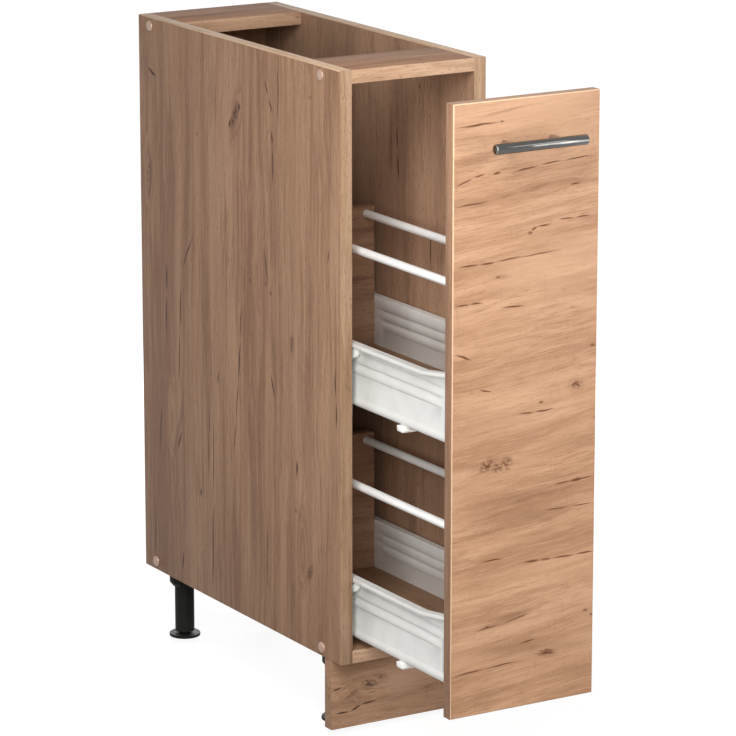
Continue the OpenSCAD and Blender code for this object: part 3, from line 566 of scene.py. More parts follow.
# the inner faces are a shade cooler, against the warm light that the boards throw on each other
BOARD_INNER = OakDecor(
    "Oak_brown_melamine_upright_inner", "9C7B63", "AE8B70", "7C604E", seed=(0.4, 0.7, 0.2),
    band_share=0.55, fibre_mm=(2.2, 18.0), fibre_share=0.6, flaws=INNER_MARKS,
)
BOARD_CROSS = OakDecor(
    "Oak_brown_melamine_crosswise", "A97D5F", "B98D6C", "86624B", grain=Grain.CROSSWISE, seed=(0.9, 0.1, 0.6),
    band_mm=(26.0, 300.0),
)
# a cooler copy of the crosswise decor for the drawer backs: painted sheen
BOARD_REAR_SHEEN = replace(
    BOARD_CROSS, name="Oak_brown_melamine_rear", base="9E7D65", light="AF8D72", dark="7D6150", seed=(0.7, 0.3, 0.1),
)
BOARD_LONG = OakDecor("Oak_brown_melamine_lengthwise", grain=Grain.LENGTHWISE, seed=(0.2, 0.5, 0.8))
PLINTH = OakDecor(
    "Oak_brown_melamine_plinth", "A27E62", "B8937A", grain=Grain.CROSSWISE, seed=(0.3, 0.2, 0.13),
    band_mm=(22.0, 260.0), wave_mm=7.0, band_share=0.35, fibre_share=0.75, pore_share=0.3, flaws=PLINTH_MARKS,
)
FRONT = OakDecor(
    "Oak_golden_foil", "B48B6C", "CAA181", "956D51", "66402B", grain=Grain.CROSSWISE, seed=(0.35, 0.15, 0.4),
    band_mm=(24.0, 260.0), band_share=0.5, streak_mm=(4.6, 90.0), streak_share=0.5, fibre_mm=(1.5, 26.0),
    fibre_share=0.55, pore_share=0.25, crack_wide=1.2, wave_mm=7.0, saw_share=0.25, tilt=4.5, roughness=0.42,
    flaws=FRONT_MARKS,
)
# the foil is drawn round the ends of the board; the end copy is drawn darker, and darker still toward the floor, as
# painted shade, and the eased edges get a much paler copy as a painted highlight
FRONT_END_SHADED = replace(
    FRONT, name="Oak_golden_foil_wrapped_end", base="A88063", light="B78E71", dark="8A6348", grain=Grain.UPRIGHT,
    tilt=0.0, band_mm=(9.0, 150.0), low_shade=0.62, flaws=(),
)
FRONT_EASED_HIGHLIGHT = replace(
    FRONT, name="Oak_golden_foil_eased_edge", base="F0CBA9", light="FADBBE", dark="D8AC86", tilt=0.0,
    low_shade=0.78, flaws=(), band_share=0.3, streak_share=0.3, fibre_share=0.3,
)
BAND_UPRIGHT = OakDecor(
    "Oak_pale_edge_band_upright", "A5866B", "B6977D", "86664C", "664A36", band_mm=(7.0, 200.0), band_share=0.5,
    seed=(0.1, 0.3, 0.7), roughness=0.4,
)
BAND_CROSS = replace(
    BAND_UPRIGHT, name="Oak_pale_edge_band_crosswise", base="BD997C", light="CBAB8E", dark="987558",
    grain=Grain.CROSSWISE, seed=(0.5, 0.6, 0.2),
)
# the top bands are drawn paler than the upright ones: a painted highlight on the top edges
BAND_LONG_HIGHLIT = replace(
    BAND_UPRIGHT, name="Oak_pale_edge_band_lengthwise", base="DCB998", light="E8CAAC", dark="BE9672",
    crack="8C6E56", grain=Grain.LENGTHWISE, seed=(0.6, 0.4, 0.9),
)
HARDBOARD = OakDecor("Oak_brown_print_hardboard", seed=(0.8, 0.9, 0.1), roughness=0.6)
CORE = Chipboard()
# powder-coated steel: fine orange peel under a half-matt white
STEEL_WHITE = Moulded("Powder_coated_steel_white", "E3E2DE", "DDDCD8", 0.38, 0.9, 0.05)
RUNNER_WHITE = Moulded("Powder_coated_steel_runner", "DADAD6", "D2D2CE", 0.42, 0.9, 0.05)
# the rods are drawn whiter than the sheet steel: partly their own coat, partly painted light on them
ROD_WHITE = Moulded("Powder_coated_tube_white", "F9F8F5", "F5F4F1", 0.3, 0.9, 0.03)
# acetal: dense, slightly waxy white plastic
ACETAL_WHITE = Moulded("Acetal_moulded_white", "FBFAF5", "F6F5EF", 0.28, 0.6, 0.03)
# polypropylene: black, matt with a fine spark-eroded grain
POLYPROPYLENE_BLACK = Moulded("Polypropylene_moulded_black", "1C1D1B", "222320", 0.5, 0.7, 0.15, sheen=0.06)
CAP_PLASTIC = Moulded("Polyethylene_cap_brown", "B08D77", "A88671", 0.22, 0.8, 0.03, sheen=0.7)
BUMPER = Moulded("Polyurethane_bumper_clear", "D8D8D4", "CFCFCB", 0.2, 1.2, 0.02)
CHROME = Metal("Chrome_dark_polished", "5C5B59", "62615F", 0.12, fine=120.0, bump=0.01)
CHROME_CUT = Metal("Chrome_satin_cut_end", "8C8C88", "949490", 0.3, fine=500.0)
CHROME_SATIN = Metal("Chrome_dark_satin_post", "B4ACB0", "BCB4B8", 0.3, fine=500.0)
ZINC = Metal("Zinc_plated_steel", "B4B7BA", "C2C5C8", 0.34, fine=260.0, bump=0.08)
NAIL = Metal("Bright_steel_nail_dulled", "77787A", "838486", 0.55, fine=400.0, bump=0.1)
BEECH = OakDecor(
    "Beech_fluted_dowel", "D2B08A", "DEC09C", "B8926A", "8C6A48", grain=Grain.CROSSWISE, band_mm=(5.0, 60.0),
    roughness=0.6,
)

# ---------------------------------------------------------------- modelling


def switch(mode: str) -> None:
    """Goes to OBJECT or EDIT mode."""
    if not bpy.context.mode.startswith(mode):
        bpy.ops.object.mode_set(mode=mode)


def take_all(what: str = "") -> None:
    """Selects the whole open piece, as its faces or edges where it says so."""
    if what:
        bpy.ops.mesh.select_mode(type=what)
    bpy.ops.mesh.select_all(action="SELECT")


def clear() -> None:
    """Leaves edit mode and deselects everything, so that operators touch the new piece alone."""
    switch("OBJECT")
    bpy.ops.object.select_all(action="DESELECT")


def pick(what: str, test: Callable[[Vector, Vector], bool]) -> None:
    """Selects faces, edges or vertices of the piece in edit mode by their place.

    Args:
        what: FACE, EDGE or VERT.
        test: told the centre and the normal (faces) or the direction (edges), says yes or no.
    """
    bpy.ops.mesh.select_mode(type="VERT")
    bpy.ops.mesh.select_all(action="DESELECT")
    switch("OBJECT")
    mesh = bpy.context.active_object.data
    if what == "FACE":
        for face in mesh.polygons:
            face.select = test(face.center, face.normal)
    elif what == "EDGE":
        for edge in mesh.edges:
            a, b = (mesh.vertices[i].co for i in edge.vertices)
            edge.select = test((a + b) / 2, (b - a).normalized() if (b - a).length else Vector())
    else:
        for vertex in mesh.vertices:
            vertex.select = test(vertex.co, vertex.normal)
    switch("EDIT")
    bpy.ops.mesh.select_mode(type=what)


def cut(at: Point, normal: Point) -> None:
    """Cuts the open piece along a plane through a point in mm."""
    take_all()
    bpy.ops.mesh.bisect(plane_co=[c * MM for c in at], plane_no=normal)


def settle(name: str, angle: float = 35.0) -> Piece:
    """Ends a piece: place into the mesh, a name, and smooth shading up to an angle.

    Args:
        name: the piece's name.
        angle: edges steeper than this stay sharp, in degrees.

    Returns:
        The finished object, at the origin.
    """
    switch("OBJECT")
    piece = bpy.context.active_object
    piece.select_set(True)
    bpy.ops.object.transform_apply()
    piece.name = piece.data.name = name
    bpy.ops.object.shade_smooth_by_angle(angle=math.radians(angle))
    return piece


def block(low: Point, high: Point) -> None:
    """Adds a cube as a box and opens it for shaping.

    Args:
        low: lowest corner in mm.
        high: highest corner in mm.
    """
    clear()
    centre = [(a + b) / 2 * MM for a, b in zip(low, high)]
    bpy.ops.mesh.primitive_cube_add(size=1.0, location=centre)
    bpy.context.active_object.scale = [abs(b - a) * MM for a, b in zip(low, high)]
    bpy.ops.object.transform_apply()
    switch("EDIT")
    take_all("EDGE")


def ease(width_mm: float, segments: int = 2) -> None:
    """Rounds the selected edges."""
    bpy.ops.mesh.bevel(offset=width_mm * MM, segments=segments, affect="EDGES", clamp_overlap=True)


def board(name: str, low: Point, high: Point, edge_mm: float = 0.35) -> Piece:
    """A sawn board with eased edges.

    Args:
        name: the piece's name.
        low: lowest corner in mm.
        high: highest corner in mm.
        edge_mm: width of the eased edges.

    Returns:
        The board.
    """
    block(low, high)
    ease(edge_mm)
    return settle(name)


def turned(name: str, rings: Sequence[Pair], centre: Point, axis: Axis = Axis.Z, sides: int = 48) -> Piece:
    """A turned piece: a disc that is drawn out and widened ring by ring.

    Args:
        name: the piece's name.
        rings: radius and height of each ring in mm, from the foot to the tip.
        centre: where height 0 lies, in mm.
        axis: the row axis that it stands on.
        sides: how many sides the rings have.

    Returns:
        The piece.
    """
    clear()
    radius, height = rings[0]
    at = (0, 0, height * MM)
    bpy.ops.mesh.primitive_circle_add(vertices=sides, radius=radius * MM, fill_type="NGON", location=at)
    bpy.ops.object.transform_apply()
    switch("EDIT")
    take_all("FACE")
    for wide, high in rings[1:]:
        bpy.ops.mesh.extrude_region_move(TRANSFORM_OT_translate={"value": (0, 0, (high - height) * MM)})
        share = wide / radius
        bpy.ops.transform.resize(value=(share, share, 1.0), center_override=(0, 0, high * MM))
        radius, height = wide, high
    take_all()
    bpy.ops.mesh.normals_make_consistent(inside=False)
    switch("OBJECT")
    piece = bpy.context.active_object
    piece.rotation_euler = [math.radians(a) for a in axis.value]
    piece.location = [c * MM for c in centre]
    return settle(name)


def mirrored(piece: Piece, about_mm: float = 0.0) -> None:
    """Mirrors a piece across the unit.

    Args:
        piece: the piece.
        about_mm: the place on X that it is mirrored about.
    """
    there = Matrix.Translation(Vector((about_mm * MM, 0, 0)))
    piece.data.transform(there @ Matrix.Scale(-1, 4, (1, 0, 0)) @ there.inverted())
    piece.data.flip_normals()


def folded(name: str, path: Sequence[Pair], y0: float, y1: float) -> Piece:
    """A strip of sheet, folded along Y: its cross-section is drawn out edge by edge. It stays open in edit mode.

    Args:
        name: the piece's name.
        path: x and z of the folds in mm.
        y0: start of the strip.
        y1: end of the strip.

    Returns:
        The sheet, still without thickness.
    """
    clear()
    bpy.ops.mesh.primitive_plane_add(size=1.0)
    piece = bpy.context.active_object
    piece.name = name
    corners = [(path[0], y0), (path[1], y0), (path[0], y1), (path[1], y1)]
    for vertex, ((x, z), y) in zip(piece.data.vertices, corners):
        vertex.co = (x * MM, y * MM, z * MM)
    switch("EDIT")
    for (xa, za), (xb, zb) in zip(path[1:], path[2:]):
        here = Vector((xa, za)) * MM
        pick("EDGE", lambda c, d, h=here: (Vector((c.x, c.z)) - h).length < 1e-6 and abs(d.y) > 0.9)
        bpy.ops.mesh.extrude_region_move(TRANSFORM_OT_translate={"value": ((xb - xa) * MM, 0, (zb - za) * MM)})
    return piece


def thicken(piece: Piece, name: str, width_mm: float, inward: float, fold_mm: float) -> Piece:
    """Rounds a sheet's folds and gives it its thickness.

    Args:
        piece: the open sheet.
        name: the name it gets.
        width_mm: the sheet's thickness.
        inward: the side that the thickness goes to, from -1 to 1.
        fold_mm: how far the rounding reaches from each fold.

    Returns:
        The finished piece.
    """
    switch("OBJECT")

    def rounding(kind: str, reach_mm: float, segments: int, angle: float) -> None:
        """Adds a bevel on the edges that are steeper than an angle in degrees."""
        bevel = piece.modifiers.new(kind, "BEVEL")
        bevel.width, bevel.segments = reach_mm * MM, segments
        bevel.limit_method, bevel.angle_limit = "ANGLE", math.radians(angle)

    rounding("fold", fold_mm, 4, 50.0)
    wall = piece.modifiers.new("wall", "SOLIDIFY")
    wall.thickness, wall.offset, wall.use_even_offset = width_mm * MM, inward, True
    rounding("soft", 0.18, 2, 60.0)
    bpy.context.view_layer.objects.active = piece
    for modifier in ("fold", "wall", "soft"):
        bpy.ops.object.modifier_apply(modifier=modifier)
    return settle(name, 40.0)


def joined(name: str, parts: Sequence[Piece]) -> Piece:
    """Joins finished parts of one piece into one object.

    Args:
        name: the piece's name.
        parts: the parts.

    Returns:
        The piece.
    """
    clear()
    for part in parts:
        part.select_set(True)
    bpy.context.view_layer.objects.active = parts[0]
    bpy.ops.object.join()
    parts[0].name = parts[0].data.name = name
    return parts[0]


@dataclass
class Workshop:
    """Hands a finished piece its materials, its body and the node that it stands for."""

    made: dict[str, Paint] = field(default_factory=dict)
    count: int = 0

    def coat(self, piece: Piece, finishes: Sequence[Finish], chosen: Optional[Chooser] = None) -> None:
        """Gives a piece its finishes; the material of each is made on first use.

        Args:
            piece: the object.
            finishes: one or more finishes.
            chosen: gives the number of a face's finish.
        """
        piece.data.materials.clear()
        for finish in finishes:
            if finish.name not in self.made:
                self.made[finish.name] = finish.material()
            piece.data.materials.append(self.made[finish.name])
        for face in piece.data.polygons:
            face.material_index = chosen(face.center / MM, face.normal) if chosen else 0

    def place(
        self,
        piece: Piece,
        finishes: Sequence[Finish],
        body: str,
        slot: str,
        *nodes: str,
        chosen: Optional[Chooser] = None,
    ) -> None:
        """Coats a piece, fixes it to its body and hides the nodes that it stands for.

        Args:
            piece: the object.
            finishes: one or more finishes.
            body: the body that carries it.
            slot: the record's material slot; not used.
            nodes: the nodes that it stands for.
            chosen: gives the number of a face's finish.
        """
        self.coat(piece, finishes, chosen)
        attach(piece, body)
        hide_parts(*nodes)
        self.count += 1
        LOG.info("%s: %d faces, rides on %s", piece.name, len(piece.data.polygons), body)

    def keep(self, finish: Finish, *nodes: str) -> None:
        """Gives a finish to nodes that keep their shape.

        Args:
            finish: the finish.
            nodes: the nodes.
        """
        for node in nodes:
            self.coat(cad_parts[node], [finish])
            LOG.info("%s keeps its shape in %s", node, finish.name)


# ---------------------------------------------------------------- sub-assemblies


@dataclass
class Carcass:
    """The standing case: sides, bottom, rails, back and plinth, all boards of 16 mm."""

    work: Workshop
    half: float = 100.0
    depth: float = 497.0
    base_z: float = 90.0
    top_z: float = 810.0
    thick: float = 16.0
    band: float = 1.0
    rail: float = 90.0
    eased: float = 0.3
    eased_hidden: float = 0.2
    plinth_box: tuple[Point, Point] = ((-99.0, 24.5, 1.0), (99.0, 40.5, 89.5))
    cap_ys: Pair = (45.0, 467.0)
    cap_in: float = 11.0
    cap_rings: Rings = ((6.8, -0.02), (7.0, 0.25), (6.8, 1.0), (6.1, 1.75), (4.8, 2.25), (2.8, 2.52), (0.6, 2.6))

    @property
    def inner(self) -> float:
        """Half the clear width between the sides, in mm."""
        return self.half - self.thick

    def across(self, side: Side) -> list[float]:
        """Lowest and highest X of a side panel, in mm."""
        return sorted((side.value * self.inner, side.value * self.half))

    def sides(self) -> None:
        """Builds the two side panels."""
        for side in Side:

            def chosen(_centre: Vector, normal: Vector, out: int = side.value) -> int:
                """Decor on the wide faces, the inner one in its own tone, and core on the sawn edges."""
                return int(normal.x * out < 0) if abs(normal.x) > 0.5 else 2

            x0, x1 = self.across(side)
            low, high = (x0, self.band, self.base_z), (x1, self.depth, self.top_z - self.band)
            panel = board(f"side_{side.word}", low, high, self.eased)
            node = f"side_panel_{side.word}"
            self.work.place(panel, [BOARD, BOARD_INNER, CORE], "cabinet", "board_laminate", node, chosen=chosen)

    def flats(self) -> None:
        """Builds the bottom and the two rails; only the back rail wears a band of its own in front."""

        def chosen(_centre: Vector, normal: Vector) -> int:
            """Decor above and below, the last finish in front, and core elsewhere."""
            if abs(normal.z) > 0.5:
                return 0
            return 2 if normal.y < -0.5 else 1

        z0, z1 = self.base_z, self.top_z
        for name, node, decor, front, y0, y1, low, high in (
            ("bottom_board", "bottom_panel", BOARD_LONG, CORE, self.band, self.depth, z0, z0 + self.thick),
            ("rail_front", "top_rail_front", BOARD_CROSS, CORE, self.band, self.rail, z1 - self.thick, z1),
            ("rail_back", "top_rail_back", BOARD_CROSS, BAND_CROSS, self.depth - self.rail, self.depth,
             z1 - self.thick, z1),
        ):
            flat = board(name, (-self.inner, y0, low), (self.inner, y1, high), self.eased_hidden)
            self.work.place(flat, [decor, CORE, front], "cabinet", "board_laminate", node, chosen=chosen)

    def bands(self) -> None:
        """Builds the glued edge bands: fronts and tops of the sides, fronts of bottom and rail."""
        z0, z1, b = self.base_z, self.top_z, self.band
        strips = []
        for side in Side:
            x0, x1 = self.across(side)
            strips.append((f"front_{side.word}", BAND_UPRIGHT, (x0, 0, z0), (x1, b, z1)))
            strips.append((f"top_{side.word}", BAND_LONG_HIGHLIT, (x0, b, z1 - b), (x1, self.depth, z1)))
        for name, low, high in (("bottom", z0, z0 + self.thick), ("rail", z1 - self.thick, z1)):
            strips.append((name, BAND_CROSS, (-self.inner, 0, low), (self.inner, b, high)))
        for name, finish, low, high in strips:
            strip = board(f"band_{name}", low, high, self.eased)
            self.work.place(strip, [finish], "cabinet", "edge_band", "carcass_edge_bands")

    def plinth(self) -> None:
        """Builds the plinth board."""
        panel = board("plinth_board", *self.plinth_box, 0.4)
        self.work.place(
            panel, [PLINTH, CORE], "cabinet", "board_laminate", "plinth", chosen=lambda _c, n: int(abs(n.z) > 0.5)
        )

    def caps(self) -> None:
        """Builds the domed cover caps."""
        made = []
        for side in Side:
            for y in self.cap_ys:
                for z in (self.base_z + self.cap_in, self.top_z - self.cap_in):
                    cap = turned("cap", self.cap_rings, (self.half, y, z), Axis.X, 32)
                    if side is Side.LEFT:
                        mirrored(cap)
                    made.append(cap)
        self.work.place(joined("cover_caps", made), [CAP_PLASTIC], "cabinet", "cap_plastic", "screw_caps")

    def build(self) -> None:
        """Builds the case and coats the small pieces that keep their shape."""
        self.sides()
        self.flats()
        self.bands()
        self.plinth()
        self.caps()
        self.work.keep(HARDBOARD, "back_panel")
        self.work.keep(BEECH, "dowels")
        self.work.keep(NAIL, "back_panel_nails")
        self.work.keep(ZINC, "assembly_screws", "plinth_clip_screws", "leg_screws", "runner_screws")
        self.work.keep(POLYPROPYLENE_BLACK, "plinth_clips")


@dataclass
class Legs:
    """Four adjustable legs: socket cup, tube and a foot with a slotted rim."""

    work: Workshop
    xs: Pair = (-68.0, 68.0)
    ys: Pair = (62.0, 452.0)
    rim: float = 20.0
    pad: float = 16.5
    slots: int = 6
    sides_per_slot: int = 11
    slot_deep: float = 2.6
    disc: float = 4.0
    stem: float = 6.0
    stem_top: float = 60.0
    tube_rings: Rings = ((11.6, 6.5), (12.5, 7.4), (12.5, 83.4), (12.1, 84.0))

    def foot(self, name: str, x: float, y: float) -> Piece:
        """Builds a foot: a disc whose rim is drawn out between the slots, and the screw stem.

        Args:
            name: the piece's name.
            x: the leg's place across the unit in mm.
            y: the leg's place along the unit in mm.

        Returns:
            The foot.
        """
        core = self.rim - self.slot_deep
        sides = self.sides_per_slot * self.slots
        rings = [
            (self.pad - 0.3, 0.0), (self.pad, 0.1), (self.pad, 0.4), (core, 0.4), (core, self.disc),
            (self.stem + 3.0, self.disc), (self.stem + 1.0, self.disc + 0.6), (self.stem, self.disc + 2.0),
            (self.stem, self.stem_top - 0.5), (self.stem - 0.5, self.stem_top),
        ]
        piece = turned(name, rings, (0, 0, 0), Axis.Z, sides)
        switch("EDIT")
        half_step = 180 / sides

        def between_slots(centre: Vector, normal: Vector) -> bool:
            """Finds the rim's upright faces, all but one at each slot."""
            turn = math.degrees(math.atan2(centre.y, centre.x)) + 90 - half_step
            off = abs((turn + 180 / self.slots) % (360 / self.slots) - 180 / self.slots)
            outside = math.hypot(centre.x, centre.y) > (core - 0.3) * MM
            return abs(normal.z) < 0.3 and outside and off > half_step

        pick("FACE", between_slots)
        bpy.ops.mesh.extrude_region_move()
        share = self.rim / core
        bpy.ops.transform.resize(value=(share, share, 1.0), center_override=(0, 0, 0))
        pick("EDGE", lambda c, d: abs(d.z) < 0.3 and math.hypot(c.x, c.y) > (self.rim - 0.1) * MM)
        ease(0.5)
        switch("OBJECT")
        piece.rotation_euler = (0, 0, math.radians(-half_step))
        piece.location = (x * MM, y * MM, 0)
        return settle(name)

    def build(self) -> None:
        """Builds the legs."""
        tubes = []
        for y, depth in zip(self.ys, ("front", "back")):
            for x, side in zip(self.xs, Side):
                tubes.append(turned("tube", self.tube_rings, (x, y, 0)))
                node = f"foot_{depth}_{side.word}"
                piece = self.foot(f"foot_disc_{depth}_{side.word}", x, y)
                self.work.place(piece, [POLYPROPYLENE_BLACK], node, "black_plastic", node)
        piece = joined("leg_tubes_turned", tubes)
        self.work.place(piece, [POLYPROPYLENE_BLACK], "cabinet", "black_plastic", "leg_tubes")
        self.work.keep(POLYPROPYLENE_BLACK, "leg_sockets")


@dataclass
class Roller:
    """A moulded roller with a rim, a dished face and a hub; faces_in lets its dish look to the unit's middle."""

    work: Workshop
    faces_in: bool
    inner_x: float = 73.8
    wide: float = 5.6
    rings: Rings = (
        (3.9, 1.5), (3.9, 0.0), (5.0, 0.0), (5.4, 0.5), (6.6, 0.5), (7.0, 0.0), (7.4, 0.0), (8.0, 0.6), (8.0, 5.0),
        (7.4, 5.6), (2.05, 5.6), (2.05, 1.5),
    )

    def build(self, node: str, side: Side, y: float, z: float) -> None:
        """Builds one roller.

        Args:
            node: the node that it stands for, also the name of its body.
            side: the half of the unit.
            y: its axle's place.
            z: its axle's height.
        """
        piece = turned(f"{node}_wheel", self.rings, (self.inner_x, y, z), Axis.X)
        if not self.faces_in:
            mirrored(piece, self.inner_x + self.wide / 2)
        if side is Side.LEFT:
            mirrored(piece)
        self.work.place(piece, [ACETAL_WHITE], node, "white_plastic", node)


@dataclass
class Runners:
    """Folded steel runners on the case, each with a roller at its front end."""

    work: Workshop
    axle_y: float = 7.0
    axle_z: float = 185.5

    def build(self) -> None:
        """Builds the rollers and coats the folded runners."""
        roller = Roller(self.work, faces_in=True)
        for tier in Tier:
            for side in Side:
                place = f"{tier.word}_{side.word}"
                self.work.keep(RUNNER_WHITE, f"runner_{place}")
                roller.build(f"cabinet_roller_{place}", side, self.axle_y, self.axle_z + tier.value)
        self.work.keep(ZINC, "cabinet_axles")


@dataclass
class Front:
    """The full-height front with its bar handle."""

    work: Workshop
    half: float = 98.0
    low: float = 92.0
    high: float = 808.0
    y0: float = -243.0
    y1: float = -227.0
    slope: float = 2.5
    slope_back: float = 0.5
    bar_end: float = 62.0
    bar_y: float = -271.0
    bar_dome: Rings = ((1.2, 0.0), (3.4, 0.2), (4.8, 0.6), (5.6, 1.1), (6.0, 1.9))
    handle_z: float = 758.5
    post_x: float = 32.0
    post_rings: Rings = ((4.0, 0.0), (4.0, -22.6), (3.7, -22.9), (3.7, -24.0))

    def panel(self) -> None:
        """Builds the front: a board whose four front edges are rounded under the foil."""
        block((-self.half, self.y0, self.low), (self.half, self.y1, self.high))
        pick("EDGE", lambda c, _d: c.y < (self.y0 + 0.5) * MM)
        ease(self.slope, 5)
        pick("EDGE", lambda c, _d: c.y > (self.y1 - 0.5) * MM)
        ease(self.slope_back)
        piece = settle("front_board", 50.0)

        def chosen(_centre: Vector, normal: Vector) -> int:
            """The painted highlight on the eased edges, the end's foil with painted shade on the sides, the decor
            elsewhere.
            """
            if -0.8 < normal.y < -0.3:
                return 2
            return int(abs(normal.x) > 0.9)

        finishes = [FRONT, FRONT_END_SHADED, FRONT_EASED_HIGHLIGHT]
        self.work.place(piece, finishes, "pull_out", "front_laminate", "front_panel", chosen=chosen)

    def handle(self) -> None:
        """Builds the bar, with a satin ring round each domed end, and its two posts."""
        rings = [(r, h - self.bar_end) for r, h in self.bar_dome]
        rings += [(r, -h) for r, h in reversed(rings)]
        bar = turned("handle_rod", rings, (0, self.bar_y, self.handle_z), Axis.X, 64)
        self.work.place(
            bar, [CHROME, CHROME_CUT], "pull_out", "handle_metal", "handle_bar",
            chosen=lambda _c, n: int(0.5 < abs(n.x) < 0.93),
        )
        at = (self.post_x, self.y0, self.handle_z)
        posts = [turned("post", self.post_rings, (side.value * at[0], *at[1:]), Axis.Y) for side in Side]
        self.work.place(joined("handle_feet", posts), [CHROME_SATIN], "pull_out", "handle_metal", "handle_posts")

    def build(self) -> None:
        """Builds the front and the handle, and coats the small pieces that keep their shape."""
        self.panel()
        self.handle()
        self.work.keep(ZINC, "handle_screws", "front_brackets", "bracket_rivets", "bracket_screws")
        self.work.keep(BUMPER, "bumpers")


@dataclass
class Drawer:
    """One drawer of the pull-out: folded steel sides, boards and a gallery of two rods."""

    work: Workshop
    tier: Tier
    y0: float = -225.0
    y1: float = 223.2
    sheet: float = 1.2
    fold: float = 1.6
    foot_x: float = 54.0
    wall_in: float = 71.0
    flange_x: float = 81.0
    foot_up: float = 27.5
    flange_up: float = 105.0
    rise: float = 9.0
    rise_ys: Pair = (-151.0, -215.0)
    rib_ups: Point = (96.2, 84.0, 71.2)
    rib_ends: tuple[float, ...] = (-180.0, -177.0, 183.0, 186.0)
    rib_profile: Rings = ((-4.5, 0.0), (-3.8, 0.75), (-2.4, 1.15), (-0.2, 1.25), (2.2, 0.95), (4.4, 0.0))
    board_half: float = 70.9
    floor_ys: Pair = (-227.0, 222.0)
    floor_ups: Pair = (28.7, 44.7)
    rear_y: float = 206.0
    rear_up: float = 220.0
    rod_x: float = 59.0
    rod_up: float = 211.0
    rod_y: float = -224.0
    rod_rings: Rings = (
        (4.0, 0.0), (4.0, -1.0), (4.7, -1.0), (5.0, -0.7), (5.0, 429.7), (4.7, 430.0), (4.0, 430.0), (4.0, 429.0),
    )
    cup_y: float = -227.0
    cup_rings: Rings = (
        (9.3, 0.0), (9.5, 0.2), (9.5, 1.8), (8.9, 2.5), (8.0, 2.6), (7.5, 3.1), (7.4, 13.2), (6.9, 14.0),
        (5.1, 14.0), (5.05, 12.0),
    )
    guide_box: tuple[Point, Point] = ((66.0, -103.0, 19.5), (77.5, -90.0, 27.4))
    tongue_box: tuple[Point, Point] = ((57.0, -102.0, 19.6), (66.2, -91.0, 23.4))
    tongue_drop: float = 1.6
    roller_y: float = 211.0
    roller_up: float = 91.9

    @property
    def z(self) -> float:
        """Height of the carcass bottom under this tier, in mm."""
        return 90.0 + self.tier.value

    def steel_side(self, side: Side) -> None:
        """Builds one folded side: foot flange, bead, wall with three pressed ribs, top flange and lip.

        Args:
            side: the half of the unit that it stands in.
        """
        low, top = self.z + self.foot_up, self.z + self.flange_up
        wall, out = self.wall_in + self.sheet, self.flange_x
        bead = [(70.4, 0), (72.6, 0.5), (73.9, 2.4), (74.2, 5.0), (73.8, 7.6), (72.9, 9.8), (wall, 12.0)]
        lip = [
            (wall, -1.0), (wall + 0.4, -0.2), (wall + 1.2, 0), (75.0, -0.1), (76.2, -0.7), (77.4, -0.7),
            (78.6, -0.1), (out - 1.2, 0), (out - 0.3, -0.5), (out, -1.4), (out, -3.6),
        ]
        path = [(self.foot_x, low)] + [(x, low + h) for x, h in bead] + [(x, top + h) for x, h in lip]
        name = f"drawer_side_{self.tier.word}_{side.word}"
        piece = folded(f"{name}_sheet", path, self.y0, self.y1)
        # the wall rises to the front
        for y in self.rise_ys:
            cut((0, y, 0), (0, 1, 0))
        pick("VERT", lambda c, _n: c.z > (top - 4) * MM and c.y < (self.rise_ys[1] + 1) * MM)
        bpy.ops.transform.translate(value=(0, 0, self.rise * MM))
        self.press_ribs(wall, -side.value)
        thicken(piece, f"{name}_pressed", self.sheet, 1.0, self.fold)
        if side is Side.LEFT:
            mirrored(piece)
        self.work.place(piece, [STEEL_WHITE], "pull_out", "white_steel", name)

    def press_ribs(self, wall: float, way: int) -> None:
        """Presses three long ribs into the open sheet's wall, rounded below and sloped above.

        Args:
            wall: where the wall's outer face lies.
            way: 1 for ribs that stand outward, -1 for ribs that stand inward.
        """
        for y in self.rib_ends:
            cut((0, y, 0), (0, 1, 0))
        for rib in self.rib_ups:
            for step, _out in self.rib_profile:
                cut((0, 0, self.z + rib + step), (0, 0, 1))
            for step, out in self.rib_profile:

                def on_line(c: Vector, _n: Vector, height: float = self.z + rib + step) -> bool:
                    """Finds the wall's points at one height, between the ribs' ends."""
                    inside = (self.rib_ends[1] - 0.5) * MM < c.y < (self.rib_ends[2] + 0.5) * MM
                    return inside and abs(c.x - wall * MM) < 1e-5 and abs(c.z / MM - height) < 0.1

                pick("VERT", on_line)
                bpy.ops.transform.translate(value=(way * out * MM, 0, 0))

    def boards(self) -> None:
        """Builds the drawer's bottom and back."""
        half, word = self.board_half, self.tier.word
        (y0, y1), (low, high) = self.floor_ys, (self.z + up for up in self.floor_ups)
        floor = board(f"drawer_floor_{word}", (-half, y0, low), (half, y1, high), 0.25)
        rear = board(f"drawer_rear_{word}", (-half, self.rear_y, high), (half, y1, self.z + self.rear_up))
        for piece, decor, node, chosen in (
            (floor, BOARD_LONG, "drawer_bottom", lambda _c, n: int(abs(n.z) <= 0.5)),
            (rear, BOARD_REAR_SHEEN, "drawer_back", lambda _c, n: int(abs(n.x) > 0.5 or n.z < -0.5)),
        ):
            self.work.place(piece, [decor, CORE], "pull_out", "board_laminate", f"{node}_{word}", chosen=chosen)

    def gallery(self) -> None:
        """Builds the two rods and their front sockets."""
        word = self.tier.word
        for kind, rings, y, name, finish, slot, node in (
            ("rod", self.rod_rings, self.rod_y, "tubes", ROD_WHITE, "white_steel", f"gallery_rods_{word}"),
            ("cup", self.cup_rings, self.cup_y, "cups", ACETAL_WHITE, "white_plastic", "rod_sockets"),
        ):
            pair = [
                turned(kind, rings, (side.value * self.rod_x, y, self.z + self.rod_up), Axis.Y, 40) for side in Side
            ]
            self.work.place(joined(f"gallery_{word}_{name}", pair), [finish], "pull_out", slot, node)

    def guides(self) -> None:
        """Builds the guide blocks under the drawer."""

